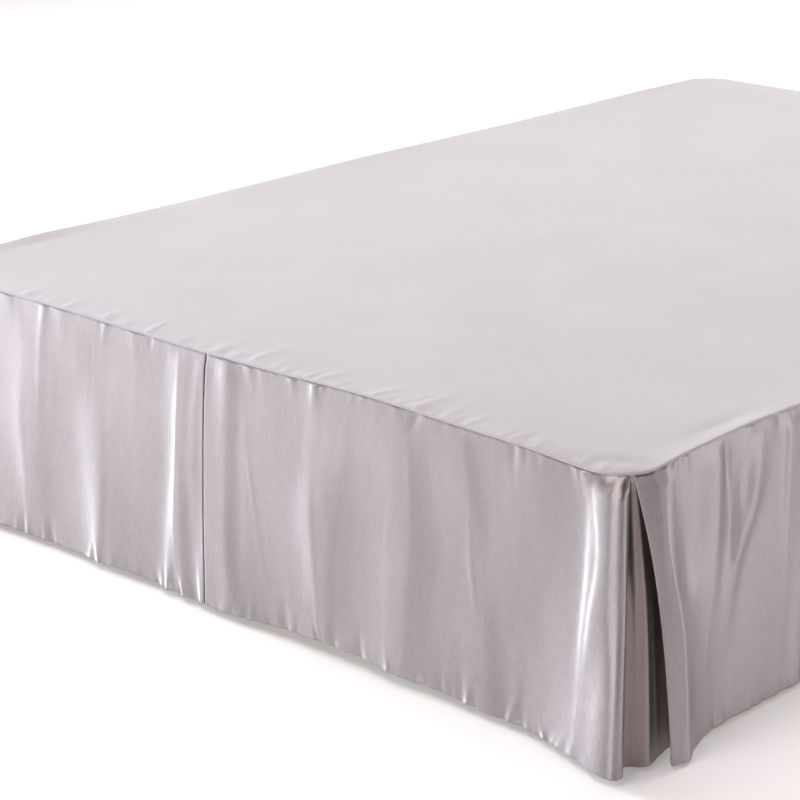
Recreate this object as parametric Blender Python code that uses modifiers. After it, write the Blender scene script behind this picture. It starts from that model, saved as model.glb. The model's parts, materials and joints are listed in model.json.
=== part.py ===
"""A tailored satin bed skirt, fitted over a plain bed base.

The skirt is cut as a flat deck and six hanging drops. The drops meet in an inverted pleat at the
foot and at the middle of each long side, and they part at the two foot corners over an inset.
Each pleat is backed by an underlay. The head end is open, and shows the base.

Metres, +Z up. The origin is on the floor under the middle of the whole. The foot faces -Y. The
drops flare more at the foot than at the head, so the bed sits a little off the origin, towards +Y.
Run it with: blender --background --python part.py
"""

import math
from collections import namedtuple

import bmesh
import bpy
from mathutils import Vector

# Bed and skirt
BED_WIDTH = 1.372
BED_LENGTH = 2.032
DECK_TOP = 0.387
CORNER_RADIUS = 0.065
BED_OFFSET = 0.0178
CLOTH = 0.0013
PIECE_GAP = 0.0003
SEAM_GAP = 0.0007

# Edge of the deck, where it rolls over into the drops
ROLL_RADIUS = 0.0025
SIDE_SEAM_RISE = 0.0055
FOOT_SEAM_FALL = 0.0035
SEAM_REACH = 0.045
LIFT_REACH = 0.200
LIFT_FROM_FOOT = 0.030
LIFT_EASE = 0.170

# Hem heights above the floor
FOOT_HEM = 0.011
SIDE_HEM = 0.005

# Pleats
FOOT_PLEAT_AT = 0.742
SIDE_PLEAT_AT = 1.030
LIP_GAP = 0.0024
TURN_RADIUS = 0.0016
TURN_STEPS = 4
RETURN_WIDTH = 0.030
PLEAT_CALM = 0.034
PLEAT_BOW = 0.006
PLEAT_BOW_WIDTH = 0.090
UNDERLAY_WIDTH = 0.084
UNDERLAY_DEPTH = 0.0050
FOLD_ROOM = 0.0035

# Split corners
SPLIT_SHIFT = 0.0050
CORNER_FLARE = 0.033
CORNER_FLARE_WIDTH = 0.090
SIDE_LIP_OPENING = 0.0385
OPENING_REACH = 0.260
OPENING_CURVE = 2.8
INSET_HALF_WIDTH = 0.112
INSET_DEPTH = 0.0056
INSET_FLARE_WIDTH = 0.042
INSET_FLARE_SHIFT = 0.010
INSET_BELOW_SEAM = 0.0020

# General hang
HEM_FLARE = 0.009
FOLD_EASE = 0.07
DROP_ROWS = (0.0, 0.07, 0.20, 0.36, 0.53, 0.70, 0.86, 1.0)
FOOT_COLUMN = 0.0142
SIDE_COLUMN = 0.0285
UNDERLAY_COLUMN = 0.0160
END_COLUMN = 0.0060
END_REACH = 0.055

# Deck mesh
DECK_COLUMN = 0.070
DECK_ROW = 0.052
ROLL_STEPS = 3
DECK_EDGE_STEP = 0.0125
DECK_NEAR_STEP = 0.030
DECK_NEAR_REACH = 0.150

# Bed base
BASE_INSET = 0.014
BASE_EDGE = 0.032
BASE_FOOT_EDGE = 0.010
BASE_EDGE_STEPS = 3
BASE_CORNER_STEPS = 6
RAIL_TOP = 0.170
RAIL_HEIGHT = 0.070
RAIL_WIDTH = 0.034
RAIL_INSET = 0.075
LEG_TOP_RADIUS = 0.030
LEG_FLOOR_RADIUS = 0.022
LEG_SIDES = 20

# Folds of one side. Places are metres from the sharp foot corner, and depths are metres outward.
# Each has five values: at the seam, a quarter, half and three quarters of the way down, and at the
# hem. Left and right are the half widths on either side of the crest, seen from outside.
Fold = namedtuple("Fold", "places left right depths")

FOOT_FOLDS = (
    Fold((0.028, 0.026, 0.025, 0.025, 0.025), 0.028, 0.006, (0.0140, 0.0190, 0.0150, 0.0030, 0.0000)),
    Fold((0.025, 0.025, 0.025, 0.025, 0.025), 0.020, 0.006, (0.0000, 0.0000, 0.0050, 0.0250, 0.0260)),
    Fold((0.060, 0.044, 0.052, 0.058, 0.054), 0.012, 0.018, (0.0015, 0.0025, 0.0030, 0.0012, 0.0000)),
    Fold((0.070, 0.064, 0.064, 0.068, 0.070), 0.008, 0.014, (0.0000, 0.0012, 0.0008, 0.0000, 0.0000)),
    Fold((0.152, 0.150, 0.150, 0.150, 0.150), 0.040, 0.034, (0.0015, 0.0004, 0.0000, 0.0005, 0.0008)),
    Fold((0.284, 0.262, 0.250, 0.250, 0.250), 0.060, 0.018, (0.0018, 0.0028, 0.0004, 0.0000, 0.0000)),
    Fold((0.240, 0.240, 0.240, 0.230, 0.215), 0.050, 0.017, (0.0000, 0.0000, 0.0000, 0.0030, 0.0034)),
    Fold((0.380, 0.372, 0.360, 0.369, 0.364), 0.056, 0.028, (0.0015, 0.0026, 0.0048, 0.0058, 0.0066)),
    Fold((0.480, 0.484, 0.500, 0.508, 0.503), 0.026, 0.015, (0.0000, 0.0004, 0.0004, 0.0010, 0.0014)),
    Fold((0.527, 0.529, 0.538, 0.527, 0.520), 0.027, 0.060, (0.0018, 0.0018, 0.0050, 0.0044, 0.0006)),
    Fold((0.698, 0.700, 0.701, 0.700, 0.690), 0.022, 0.017, (0.0028, 0.0020, 0.0010, 0.0005, 0.0004)),
    Fold((0.700, 0.702, 0.703, 0.702, 0.692), 0.090, 0.017, (0.0000, 0.0020, 0.0030, 0.0036, 0.0026)),
    Fold((0.690, 0.690, 0.690, 0.688, 0.680), 0.050, 0.042, (0.0000, 0.0000, 0.0010, 0.0030, 0.0064)),
    Fold((0.738, 0.738, 0.738, 0.738, 0.738), 0.008, 0.020, (0.0000, 0.0018, 0.0016, 0.0016, 0.0004)),
    Fold((0.747, 0.758, 0.762, 0.752, 0.738), 0.014, 0.020, (0.0024, 0.0020, 0.0020, 0.0008, 0.0030)),
    Fold((0.790, 0.793, 0.797, 0.806, 0.818), 0.020, 0.027, (0.0026, 0.0038, 0.0042, 0.0050, 0.0040)),
    Fold((0.794, 0.794, 0.793, 0.792, 0.786), 0.013, 0.014, (0.0000, 0.0000, 0.0008, 0.0018, 0.0036)),
    Fold((0.988, 0.986, 0.984, 0.975, 0.968), 0.030, 0.052, (0.0000, 0.0000, 0.0034, 0.0056, 0.0048)),
    Fold((1.160, 1.136, 1.142, 1.130, 1.124), 0.040, 0.046, (0.0006, 0.0018, 0.0046, 0.0056, 0.0020)),
    Fold((1.205, 1.202, 1.200, 1.196, 1.190), 0.034, 0.034, (0.0000, 0.0006, 0.0010, 0.0026, 0.0030)),
    Fold((1.292, 1.296, 1.300, 1.296, 1.284), 0.018, 0.024, (0.0010, 0.0046, 0.0054, 0.0050, 0.0038)),
)

LONG_SIDE_FOLDS = (
    Fold((0.045, 0.051, 0.065, 0.069, 0.068), 0.015, 0.022, (0.0015, 0.0060, 0.0085, 0.0090, 0.0085)),
    Fold((0.158, 0.156, 0.150, 0.150, 0.150), 0.032, 0.014, (0.0030, 0.0055, 0.0030, 0.0000, 0.0000)),
    Fold((0.252, 0.234, 0.190, 0.180, 0.180), 0.022, 0.019, (0.0000, 0.0060, 0.0040, 0.0000, 0.0000)),
    Fold((0.150, 0.140, 0.105, 0.100, 0.100), 0.030, 0.080, (0.0000, 0.0010, 0.0070, 0.0050, 0.0030)),
    Fold((0.300, 0.300, 0.300, 0.300, 0.300), 0.080, 0.050, (0.0020, 0.0040, 0.0065, 0.0065, 0.0050)),
    Fold((0.314, 0.312, 0.312, 0.312, 0.312), 0.009, 0.024, (0.0025, 0.0025, 0.0010, 0.0000, 0.0000)),
    Fold((0.352, 0.350, 0.348, 0.348, 0.346), 0.020, 0.014, (0.0010, 0.0015, 0.0025, 0.0040, 0.0040)),
    Fold((0.444, 0.440, 0.436, 0.430, 0.424), 0.036, 0.028, (0.0015, 0.0040, 0.0060, 0.0055, 0.0030)),
    Fold((0.520, 0.518, 0.512, 0.506, 0.500), 0.014, 0.022, (0.0000, 0.0012, 0.0024, 0.0036, 0.0032)),
    Fold((0.606, 0.604, 0.606, 0.598, 0.590), 0.026, 0.044, (0.0015, 0.0050, 0.0065, 0.0050, 0.0020)),
    Fold((0.690, 0.684, 0.676, 0.672, 0.668), 0.018, 0.016, (0.0018, 0.0012, 0.0000, 0.0006, 0.0024)),
    Fold((0.776, 0.770, 0.766, 0.756, 0.748), 0.024, 0.050, (0.0006, 0.0038, 0.0070, 0.0055, 0.0025)),
    Fold((0.850, 0.856, 0.850, 0.846, 0.842), 0.040, 0.024, (0.0000, 0.0012, 0.0025, 0.0020, 0.0025)),
    Fold((0.926, 0.930, 0.926, 0.918, 0.912), 0.016, 0.030, (0.0012, 0.0040, 0.0055, 0.0045, 0.0025)),
    Fold((0.992, 0.990, 0.988, 0.984, 0.982), 0.014, 0.020, (0.0000, 0.0012, 0.0018, 0.0024, 0.0024)),
    Fold((1.100, 1.102, 1.106, 1.110, 1.114), 0.030, 0.018, (0.0018, 0.0055, 0.0070, 0.0055, 0.0025)),
    Fold((1.196, 1.190, 1.186, 1.192, 1.200), 0.034, 0.044, (0.0006, 0.0018, 0.0030, 0.0025, 0.0018)),
    Fold((1.262, 1.266, 1.270, 1.280, 1.292), 0.040, 0.024, (0.0000, 0.0025, 0.0065, 0.0055, 0.0025)),
    Fold((1.344, 1.338, 1.336, 1.344, 1.352), 0.016, 0.018, (0.0018, 0.0018, 0.0006, 0.0012, 0.0025)),
    Fold((1.424, 1.424, 1.428, 1.438, 1.448), 0.028, 0.046, (0.0006, 0.0045, 0.0070, 0.0055, 0.0018)),
    Fold((1.510, 1.506, 1.504, 1.500, 1.496), 0.044, 0.026, (0.0000, 0.0006, 0.0025, 0.0030, 0.0030)),
    Fold((1.598, 1.600, 1.602, 1.608, 1.614), 0.022, 0.040, (0.0012, 0.0050, 0.0065, 0.0045, 0.0018)),
    Fold((1.690, 1.694, 1.700, 1.702, 1.702), 0.036, 0.026, (0.0006, 0.0018, 0.0025, 0.0025, 0.0025)),
    Fold((1.770, 1.764, 1.758, 1.752, 1.746), 0.026, 0.050, (0.0006, 0.0038, 0.0070, 0.0055, 0.0025)),
    Fold((1.862, 1.860, 1.862, 1.866, 1.868), 0.020, 0.022, (0.0018, 0.0018, 0.0012, 0.0018, 0.0030)),
    Fold((1.944, 1.946, 1.950, 1.954, 1.960), 0.034, 0.022, (0.0006, 0.0038, 0.0055, 0.0045, 0.0025)),
)

# Rises of the seam and of the hem, which aren't quite straight. Places are metres from the sharp
# foot corner.
Wave = namedtuple("Wave", "at width rise")

FOOT_SEAM_WAVES = (
    Wave(0.060, 0.085, -0.0065),
    Wave(0.440, 0.130, 0.0045),
    Wave(0.780, 0.140, -0.0015),
    Wave(1.050, 0.130, 0.0010),
    Wave(1.320, 0.080, -0.0050),
)
LONG_SEAM_WAVES = (
    Wave(0.030, 0.030, -0.0030),
    Wave(0.230, 0.090, 0.0030),
    Wave(0.560, 0.160, -0.0012),
    Wave(0.980, 0.150, 0.0015),
    Wave(1.430, 0.170, -0.0010),
    Wave(1.800, 0.140, 0.0012),
)
FOOT_HEM_WAVES = (
    Wave(0.470, 0.170, 0.0085),
    Wave(0.905, 0.060, 0.0020),
)
LONG_HEM_WAVES = (
    Wave(0.560, 0.160, 0.0040),
    Wave(1.240, 0.200, 0.0030),
    Wave(1.760, 0.160, 0.0035),
)

# Drops: where each starts and ends along the seam, and how far each end draws back at the hem.
Drop = namedtuple("Drop", "name start end start_lip end_lip start_opening end_opening column")
Backing = namedtuple("Backing", "name middle half_width depth flare_width flare_shift below_seam")

Finish = namedtuple("Finish", "name colour roughness metallic")
SATIN = Finish("silver_satin", (0.50, 0.45, 0.45), 0.38, 0.0)
DECK_CLOTH = Finish("deck_cloth", (0.76, 0.69, 0.71), 0.80, 0.0)
TICKING = Finish("base_ticking", (0.70, 0.67, 0.63), 0.90, 0.0)
TIMBER = Finish("base_timber", (0.42, 0.28, 0.16), 0.55, 0.0)

STRAIGHT_FOOT = BED_WIDTH - 2 * CORNER_RADIUS
STRAIGHT_SIDE = BED_LENGTH - 2 * CORNER_RADIUS
CORNER_ARC = 0.5 * math.pi * CORNER_RADIUS
LEFT_CORNER = STRAIGHT_SIDE + 1.5 * CORNER_ARC
RIGHT_CORNER = LEFT_CORNER + CORNER_ARC + STRAIGHT_FOOT
SEAM_LENGTH = RIGHT_CORNER + STRAIGHT_SIDE + 1.5 * CORNER_ARC
BEND_TAKEN = CORNER_RADIUS - 0.5 * CORNER_ARC


def clear_scene():
    """Remove every object that the scene starts with."""
    for obj in list(bpy.data.objects):
        bpy.data.objects.remove(obj, do_unlink=True)


def seam_point(along):
    """Plan point and outward direction of the seam, which runs round from the head by the left."""
    inner_x, inner_y = BED_WIDTH / 2 - CORNER_RADIUS, BED_LENGTH / 2 - CORNER_RADIUS
    centres = ((-inner_x, inner_y), (-inner_x, -inner_y), (inner_x, -inner_y), (inner_x, inner_y))
    straights = (STRAIGHT_SIDE, STRAIGHT_FOOT, STRAIGHT_SIDE, STRAIGHT_FOOT)
    angle = 0.5 * math.pi
    for centre, straight in zip(centres, straights):
        turned = angle + min(along, CORNER_ARC) / CORNER_RADIUS
        outward = Vector((math.cos(turned), math.sin(turned)))
        on_arc = Vector(centre) + outward * CORNER_RADIUS
        if along <= CORNER_ARC:
            return on_arc, outward
        along -= CORNER_ARC
        if along < straight:
            return on_arc + Vector((-outward.y, outward.x)) * along, outward
        along -= straight
        angle += 0.5 * math.pi
    raise ValueError("the place is past the end of the seam")


def from_foot(distance):
    """Place along the seam of a point on the foot, from its distance to the right corner."""
    return RIGHT_CORNER - (distance - BEND_TAKEN)


def from_right(distance):
    """Place along the seam of a point on the right side, from its distance to the foot corner."""
    return RIGHT_CORNER + (distance - BEND_TAKEN)


def from_left(distance):
    """Place along the seam of a point on the left side, from its distance to the foot corner."""
    return LEFT_CORNER - (distance - BEND_TAKEN)


def bump(distance, width):
    """A soft rise of height 1."""
    return math.exp(-((distance / width) ** 2))


def smooth(share):
    """Ease from 0 to 1."""
    share = min(max(share, 0.0), 1.0)
    return share * share * (3 - 2 * share)


def through(values, down):
    """The smooth curve through values that are evenly spaced from the seam to the hem."""
    padded = (2 * values[0] - values[1], *values, 2 * values[-1] - values[-2])
    reached = min(max(down, 0.0), 1.0) * (len(values) - 1)
    span = min(int(reached), len(values) - 2)
    share = reached - span
    before, start, end, after = padded[span:span + 4]
    bend = 2 * before - 5 * start + 4 * end - after
    twist = 3 * (start - end) + after - before
    return start + 0.5 * share * (end - before + share * (bend + share * twist))


def on_foot(along):
    """1 on the foot, 0 on the long sides, with a soft change round the corners."""
    reach = 2 * CORNER_RADIUS
    return smooth((along - LEFT_CORNER) / reach + 0.5) * smooth((RIGHT_CORNER - along) / reach + 0.5)


def placed_folds():
    """Every fold of the three sides, with its places turned into places along the seam."""
    sides = (
        (FOOT_FOLDS, from_foot, 0.0),
        (LONG_SIDE_FOLDS, from_right, 0.0),
        (LONG_SIDE_FOLDS, from_left, 0.018),
    )
    for folds, place, later in sides:
        for fold in folds:
            yield fold._replace(places=tuple(place(at + later) for at in fold.places))


def placed_waves(foot_waves, long_waves):
    """Every rise of the seam or hem line, with its place along the seam."""
    for waves, place in ((foot_waves, from_foot), (long_waves, from_right), (long_waves, from_left)):
        for wave in waves:
            yield wave._replace(at=place(wave.at))


FOLDS = tuple(placed_folds())
SEAM_WAVES = tuple(placed_waves(FOOT_SEAM_WAVES, LONG_SEAM_WAVES))
HEM_WAVES = tuple(placed_waves(FOOT_HEM_WAVES, LONG_HEM_WAVES))
PLEATS = (from_left(SIDE_PLEAT_AT), from_foot(FOOT_PLEAT_AT), from_right(SIDE_PLEAT_AT))


def seam_height(along):
    """Height of the seam between the deck and a drop."""
    foot = on_foot(along)
    rise = SIDE_SEAM_RISE * (1 - foot) - FOOT_SEAM_FALL * foot
    rise += sum(wave.rise * bump(along - wave.at, wave.width) for wave in SEAM_WAVES)
    return DECK_TOP - ROLL_RADIUS + rise


def hem_height(along):
    """Height of the hem above the floor."""
    foot = on_foot(along)
    rise = sum(wave.rise * bump(along - wave.at, wave.width) for wave in HEM_WAVES)
    return FOOT_HEM * foot + SIDE_HEM * (1 - foot) + rise


def flare(along, down, corner_width=CORNER_FLARE_WIDTH, foot_shift=0.0):
    """How far the cloth slopes out from the seam line, down = 0 at the seam and 1 at the hem."""
    out = HEM_FLARE * down * down
    for peak in (LEFT_CORNER + foot_shift, RIGHT_CORNER - foot_shift):
        out += CORNER_FLARE * down**1.2 * bump(along - peak, corner_width)
    return out


def folded(along, down):
    """How far the folds stand out, with none that falls in beside a closed pleat."""
    out = 0.0
    for fold in FOLDS:
        apart = along - through(fold.places, down)
        width = fold.left if apart < 0 else fold.right
        if abs(apart) < 3 * width:
            out += through(fold.depths, down) * bump(apart, width)
    for pleat in PLEATS:
        if out < 0:
            out *= 1 - bump(along - pleat, PLEAT_CALM)
    return out * smooth(down / FOLD_EASE)


def sway(along, down):
    """How far the cloth beside the foot pleat leans to the left, most half way down."""
    return -PLEAT_BOW * 4 * down * (1 - down) * bump(along - PLEATS[1], PLEAT_BOW_WIDTH)


def steps(start, end, spacing):
    """Even places from start to end, about the given spacing apart."""
    count = max(1, round((end - start) / spacing))
    return [start + (end - start) * index / count for index in range(count + 1)]


def lip_turn():
    """Places and depths round a folded lip, from the back of the return to the front face."""
    turn = [(RETURN_WIDTH, -2 * TURN_RADIUS), (0.5 * RETURN_WIDTH, -2 * TURN_RADIUS)]
    for step in range(TURN_STEPS, 0, -1):
        angle = math.pi * step / TURN_STEPS
        turn.append((
            TURN_RADIUS * (1 - math.sin(angle)),
            TURN_RADIUS * (math.cos(angle) - 1),
        ))
    return turn


def by_split(along):
    """Whether a place along the seam is at a split corner."""
    return min(abs(along - LEFT_CORNER), abs(along - RIGHT_CORNER)) < CORNER_RADIUS


def drop_columns(drop):
    """Place from the drop's start and depth behind its face, for each column of its mesh."""
    length = drop.end - drop.start
    first = TURN_RADIUS if drop.start_lip else 0.0
    last = length - TURN_RADIUS if drop.end_lip else length
    columns = lip_turn() if drop.start_lip else []
    near_start = first + END_REACH * by_split(drop.start)
    near_end = last - END_REACH * by_split(drop.end)
    places = steps(first, near_start, END_COLUMN)[:-1] if by_split(drop.start) else []
    places += steps(near_start, near_end, drop.column)
    places += steps(near_end, last, END_COLUMN)[1:] if by_split(drop.end) else []
    columns += [(place, 0.0) for place in places]
    if drop.end_lip:
        columns += [(length - place, depth) for place, depth in reversed(lip_turn())]
    return columns


def mapped_grid(name, columns, rows, point, finish, collection):
    """A grid of columns by rows whose corners go where point puts them, thickened into cloth."""
    mesh = bpy.data.meshes.new(name)
    grid = bmesh.new()
    across, upright = len(columns) - 1, len(rows) - 1
    bmesh.ops.create_grid(grid, x_segments=across, y_segments=upright, size=0.5)
    for vertex in grid.verts:
        column = columns[round((vertex.co.x + 0.5) * across)]
        row = rows[round((0.5 - vertex.co.y) * upright)]
        vertex.co = point(column, row)
    grid.to_mesh(mesh)
    grid.free()
    mesh.shade_smooth()
    obj = bpy.data.objects.new(name, mesh)
    collection.objects.link(obj)
    obj.data.materials.append(material(finish))
    return obj


def thicken(obj, offset):
    """Give a sheet the thickness of the cloth."""
    solidify = obj.modifiers.new("cloth", "SOLIDIFY")
    solidify.thickness = CLOTH
    solidify.offset = offset
    solidify.use_even_offset = True


def material(finish):
    """The finish as a material, made once."""
    made = bpy.data.materials.get(finish.name)
    if made:
        return made
    made = bpy.data.materials.new(finish.name)
    made.use_nodes = True
    shader = made.node_tree.nodes["Principled BSDF"]
    shader.inputs["Base Color"].default_value = (*finish.colour, 1.0)
    shader.inputs["Roughness"].default_value = finish.roughness
    shader.inputs["Metallic"].default_value = finish.metallic
    return made


def cloth_point(along, down, out, top):
    """A point of hanging cloth that stands out from the seam line."""
    plan, outward = seam_point(along)
    plan = plan + outward * (out - CLOTH / 2)
    height = top + (hem_height(along) - top) * down
    return Vector((plan.x, plan.y, height))


def add_drop(drop, collection):
    """One hanging drop, with the folded lips that it has."""
    length = drop.end - drop.start

    def point(column, down):
        place, depth = column
        near_start = max(0.0, 1 - place / OPENING_REACH) ** 2
        near_end = max(0.0, 1 - (length - place) / OPENING_REACH) ** 2
        drawn_back = drop.start_opening * near_start - drop.end_opening * near_end
        along = drop.start + place + drawn_back * (1 - (1 - down) ** OPENING_CURVE)
        out = flare(along, down) + folded(along, down) + depth
        along += sway(along, down)
        return cloth_point(along, down, out, seam_height(along) - SEAM_GAP)

    obj = mapped_grid(drop.name, drop_columns(drop), DROP_ROWS, point, SATIN, collection)
    thicken(obj, 0.0)


def add_backing(backing, collection):
    """The strip of cloth behind a pleat or a split corner."""
    def point(along, down):
        falls_back = FOLD_ROOM * smooth(down / FOLD_EASE)
        slope = flare(along, down, backing.flare_width, backing.flare_shift)
        out = slope - backing.depth - falls_back
        return cloth_point(along, down, out, seam_height(along) - SEAM_GAP - backing.below_seam)

    first, last = backing.middle - backing.half_width, backing.middle + backing.half_width
    columns = steps(first, last, UNDERLAY_COLUMN)
    obj = mapped_grid(backing.name, columns, DROP_ROWS, point, SATIN, collection)
    thicken(obj, 0.0)


def deck_lines(half_length, spacing):
    """Places across the flat deck, close together where it rolls over at the edge."""
    roll = 0.5 * math.pi * ROLL_RADIUS
    flat_edge = half_length - ROLL_RADIUS
    inner = half_length - CORNER_RADIUS
    middle = half_length - DECK_NEAR_REACH
    positive = steps(middle, inner, DECK_NEAR_STEP)[1:] + steps(inner, flat_edge, DECK_EDGE_STEP)[1:]
    positive += [flat_edge + roll * step / ROLL_STEPS for step in range(1, ROLL_STEPS + 1)]
    return [-place for place in reversed(positive)] + steps(-middle, middle, spacing) + positive


def nearest_seam(plan, outward):
    """Place along the seam that is nearest to a point near the deck's edge."""
    inner_y = BED_LENGTH / 2 - CORNER_RADIUS
    half_arc = 0.5 * CORNER_ARC
    turned = math.atan2(outward.y, abs(outward.x)) * CORNER_RADIUS
    if plan.y > inner_y:
        past_side = STRAIGHT_SIDE + half_arc + turned
    elif outward.y < 0 and abs(outward.x) < 1e-6:
        return LEFT_CORNER + half_arc + STRAIGHT_FOOT / 2 + plan.x
    elif outward.y < 0:
        past_side = half_arc + turned
    else:
        past_side = half_arc + plan.y + inner_y
    return RIGHT_CORNER + past_side if plan.x > 0 else LEFT_CORNER - past_side


def deck_lift(x, y):
    """How far the deck lies above its middle near the long sides."""
    from_side = max(0.0, BED_WIDTH / 2 - abs(x))
    from_foot = y + BED_LENGTH / 2
    nearness = max(0.0, 1 - from_side / LIFT_REACH)
    return SIDE_SEAM_RISE * nearness * nearness * smooth((from_foot - LIFT_FROM_FOOT) / LIFT_EASE)


def add_deck(collection):
    """The flat deck on top of the base, which rolls over its edge on all four sides."""
    inner_x = BED_WIDTH / 2 - CORNER_RADIUS
    inner_y = BED_LENGTH / 2 - CORNER_RADIUS
    roll_start = CORNER_RADIUS - ROLL_RADIUS

    def point(x, y):
        core = Vector((min(max(x, -inner_x), inner_x), min(max(y, -inner_y), inner_y)))
        away = Vector((x, y)) - core
        reach = max(abs(away.x), abs(away.y))
        if reach < 1e-9:
            return Vector((x, y, DECK_TOP + deck_lift(x, y)))
        outward = away.normalized()
        turned = max(0.0, (reach - roll_start) / ROLL_RADIUS)
        radius = min(reach, roll_start) + ROLL_RADIUS * math.sin(turned)
        plan = core + outward * radius
        height = DECK_TOP - ROLL_RADIUS * (1 - math.cos(turned))
        edge_height = seam_height(nearest_seam(plan, outward)) + ROLL_RADIUS - DECK_TOP
        nearness = max(0.0, 1 - (CORNER_RADIUS - radius) / SEAM_REACH)
        lift = deck_lift(plan.x, plan.y)
        height += lift + (edge_height - lift) * nearness * nearness
        return Vector((plan.x, plan.y, height))

    columns = deck_lines(BED_WIDTH / 2, DECK_COLUMN)
    rows = deck_lines(BED_LENGTH / 2, DECK_ROW)
    obj = mapped_grid("deck", columns, rows, point, DECK_CLOTH, collection)
    thicken(obj, 1.0)


def bevel_edges(solid, chosen, width, segments):
    """Round the chosen edges of a bmesh."""
    bmesh.ops.bevel(
        solid, geom=chosen, offset=width, segments=segments, profile=0.5,
        affect="EDGES", clamp_overlap=True,
    )


def add_solid(name, solid, finish, collection):
    """Turn a bmesh into an object."""
    mesh = bpy.data.meshes.new(name)
    solid.to_mesh(mesh)
    solid.free()
    obj = bpy.data.objects.new(name, mesh)
    obj.data.materials.append(material(finish))
    collection.objects.link(obj)
    return obj


def box(size, middle):
    """A bmesh box of the given size around its middle."""
    solid = bmesh.new()
    bmesh.ops.create_cube(solid, size=1.0)
    bmesh.ops.scale(solid, vec=size, verts=solid.verts)
    bmesh.ops.translate(solid, vec=middle, verts=solid.verts)
    return solid


def add_mattress_base(collection):
    """The padded box that the deck lies on."""
    width, length = BED_WIDTH - 2 * BASE_INSET, BED_LENGTH - 2 * BASE_INSET
    top = DECK_TOP - CLOTH - PIECE_GAP
    bottom = RAIL_TOP + PIECE_GAP
    solid = box(Vector((width, length, top - bottom)), Vector((0, 0, (top + bottom) / 2)))
    upright = [edge for edge in solid.edges
               if abs(edge.verts[0].co.z - edge.verts[1].co.z) > 0.01]
    bevel_edges(solid, upright, CORNER_RADIUS - BASE_INSET, BASE_CORNER_STEPS)
    for height, radius in ((top, BASE_EDGE), (bottom, BASE_FOOT_EDGE)):
        rim = [edge for edge in solid.edges
               if all(abs(vertex.co.z - height) < 1e-6 for vertex in edge.verts)]
        bevel_edges(solid, rim, radius, BASE_EDGE_STEPS)
    obj = add_solid("bed_base", solid, TICKING, collection)
    obj.data.shade_smooth()
    obj.data.set_sharp_from_angle(angle=math.radians(40))


def add_frame(collection):
    """The timber frame and legs under the padded box."""
    middle_z = RAIL_TOP - RAIL_HEIGHT / 2
    rail_x = BED_WIDTH / 2 - RAIL_INSET
    rail_y = BED_LENGTH / 2 - RAIL_INSET
    long_size = Vector((RAIL_WIDTH, 2 * rail_y + RAIL_WIDTH, RAIL_HEIGHT))
    cross_size = Vector((2 * rail_x - RAIL_WIDTH - 2 * PIECE_GAP, RAIL_WIDTH, RAIL_HEIGHT))
    rails = (
        ("rail_left", long_size, Vector((-rail_x, 0, middle_z))),
        ("rail_right", long_size, Vector((rail_x, 0, middle_z))),
        ("rail_foot", cross_size, Vector((0, -rail_y, middle_z))),
        ("rail_middle", cross_size, Vector((0, 0, middle_z))),
        ("rail_head", cross_size, Vector((0, rail_y, middle_z))),
    )
    for name, size, middle in rails:
        solid = box(size, middle)
        bevel_edges(solid, list(solid.edges), 0.003, 1)
        add_solid(name, solid, TIMBER, collection)
    leg_height = RAIL_TOP - RAIL_HEIGHT - PIECE_GAP
    for side, x in (("left", -rail_x), ("right", rail_x)):
        for end, y in (("foot", -rail_y), ("middle", 0.0), ("head", rail_y)):
            solid = bmesh.new()
            bmesh.ops.create_cone(
                solid, cap_ends=True, segments=LEG_SIDES,
                radius1=LEG_FLOOR_RADIUS, radius2=LEG_TOP_RADIUS, depth=leg_height,
            )
            bmesh.ops.translate(solid, vec=Vector((x, y, leg_height / 2)), verts=solid.verts)
            obj = add_solid(f"leg_{side}_{end}", solid, TIMBER, collection)
            obj.data.shade_smooth()
            obj.data.set_sharp_from_angle(angle=math.radians(40))


def skirt_drops():
    """The six drops, from the head end of the left side round to the head end of the right."""
    split_left = LEFT_CORNER + SPLIT_SHIFT
    split_right = RIGHT_CORNER - SPLIT_SHIFT
    foot_pleat = from_foot(FOOT_PLEAT_AT)
    left_pleat = from_left(SIDE_PLEAT_AT)
    right_pleat = from_right(SIDE_PLEAT_AT)
    half = LIP_GAP / 2
    side = SIDE_LIP_OPENING
    return (
        Drop("left_drop_head", 0.0, left_pleat - half, False, True, 0, 0, SIDE_COLUMN),
        Drop("left_drop_foot", left_pleat + half, split_left - half, True, True, 0, side, SIDE_COLUMN),
        Drop("foot_drop_left", split_left + half, foot_pleat - half, True, True, 0, 0, FOOT_COLUMN),
        Drop("foot_drop_right", foot_pleat + half, split_right - half, True, True, 0, 0, FOOT_COLUMN),
        Drop("right_drop_foot", split_right + half, right_pleat - half, True, True, side, 0, SIDE_COLUMN),
        Drop("right_drop_head", right_pleat + half, SEAM_LENGTH, True, False, 0, 0, SIDE_COLUMN),
    )


def skirt_backings():
    """The underlays of the three pleats and the insets of the two split corners."""
    half = UNDERLAY_WIDTH / 2
    behind_pleat = (half, UNDERLAY_DEPTH, CORNER_FLARE_WIDTH, 0.0, 0.0)
    behind_split = (INSET_HALF_WIDTH, INSET_DEPTH, INSET_FLARE_WIDTH, INSET_FLARE_SHIFT, INSET_BELOW_SEAM)
    return (
        Backing("left_pleat_underlay", from_left(SIDE_PLEAT_AT), *behind_pleat),
        Backing("foot_pleat_underlay", from_foot(FOOT_PLEAT_AT), *behind_pleat),
        Backing("right_pleat_underlay", from_right(SIDE_PLEAT_AT), *behind_pleat),
        Backing("left_corner_inset", LEFT_CORNER, *behind_split),
        Backing("right_corner_inset", RIGHT_CORNER, *behind_split),
    )


def hang_from_origin(collection):
    """Parent every piece to an empty that sets the bed off from the origin."""
    anchor = bpy.data.objects.new("bed_anchor", None)
    anchor.location = (0.0, BED_OFFSET, 0.0)
    for obj in collection.objects:
        obj.parent = anchor
    collection.objects.link(anchor)


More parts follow.
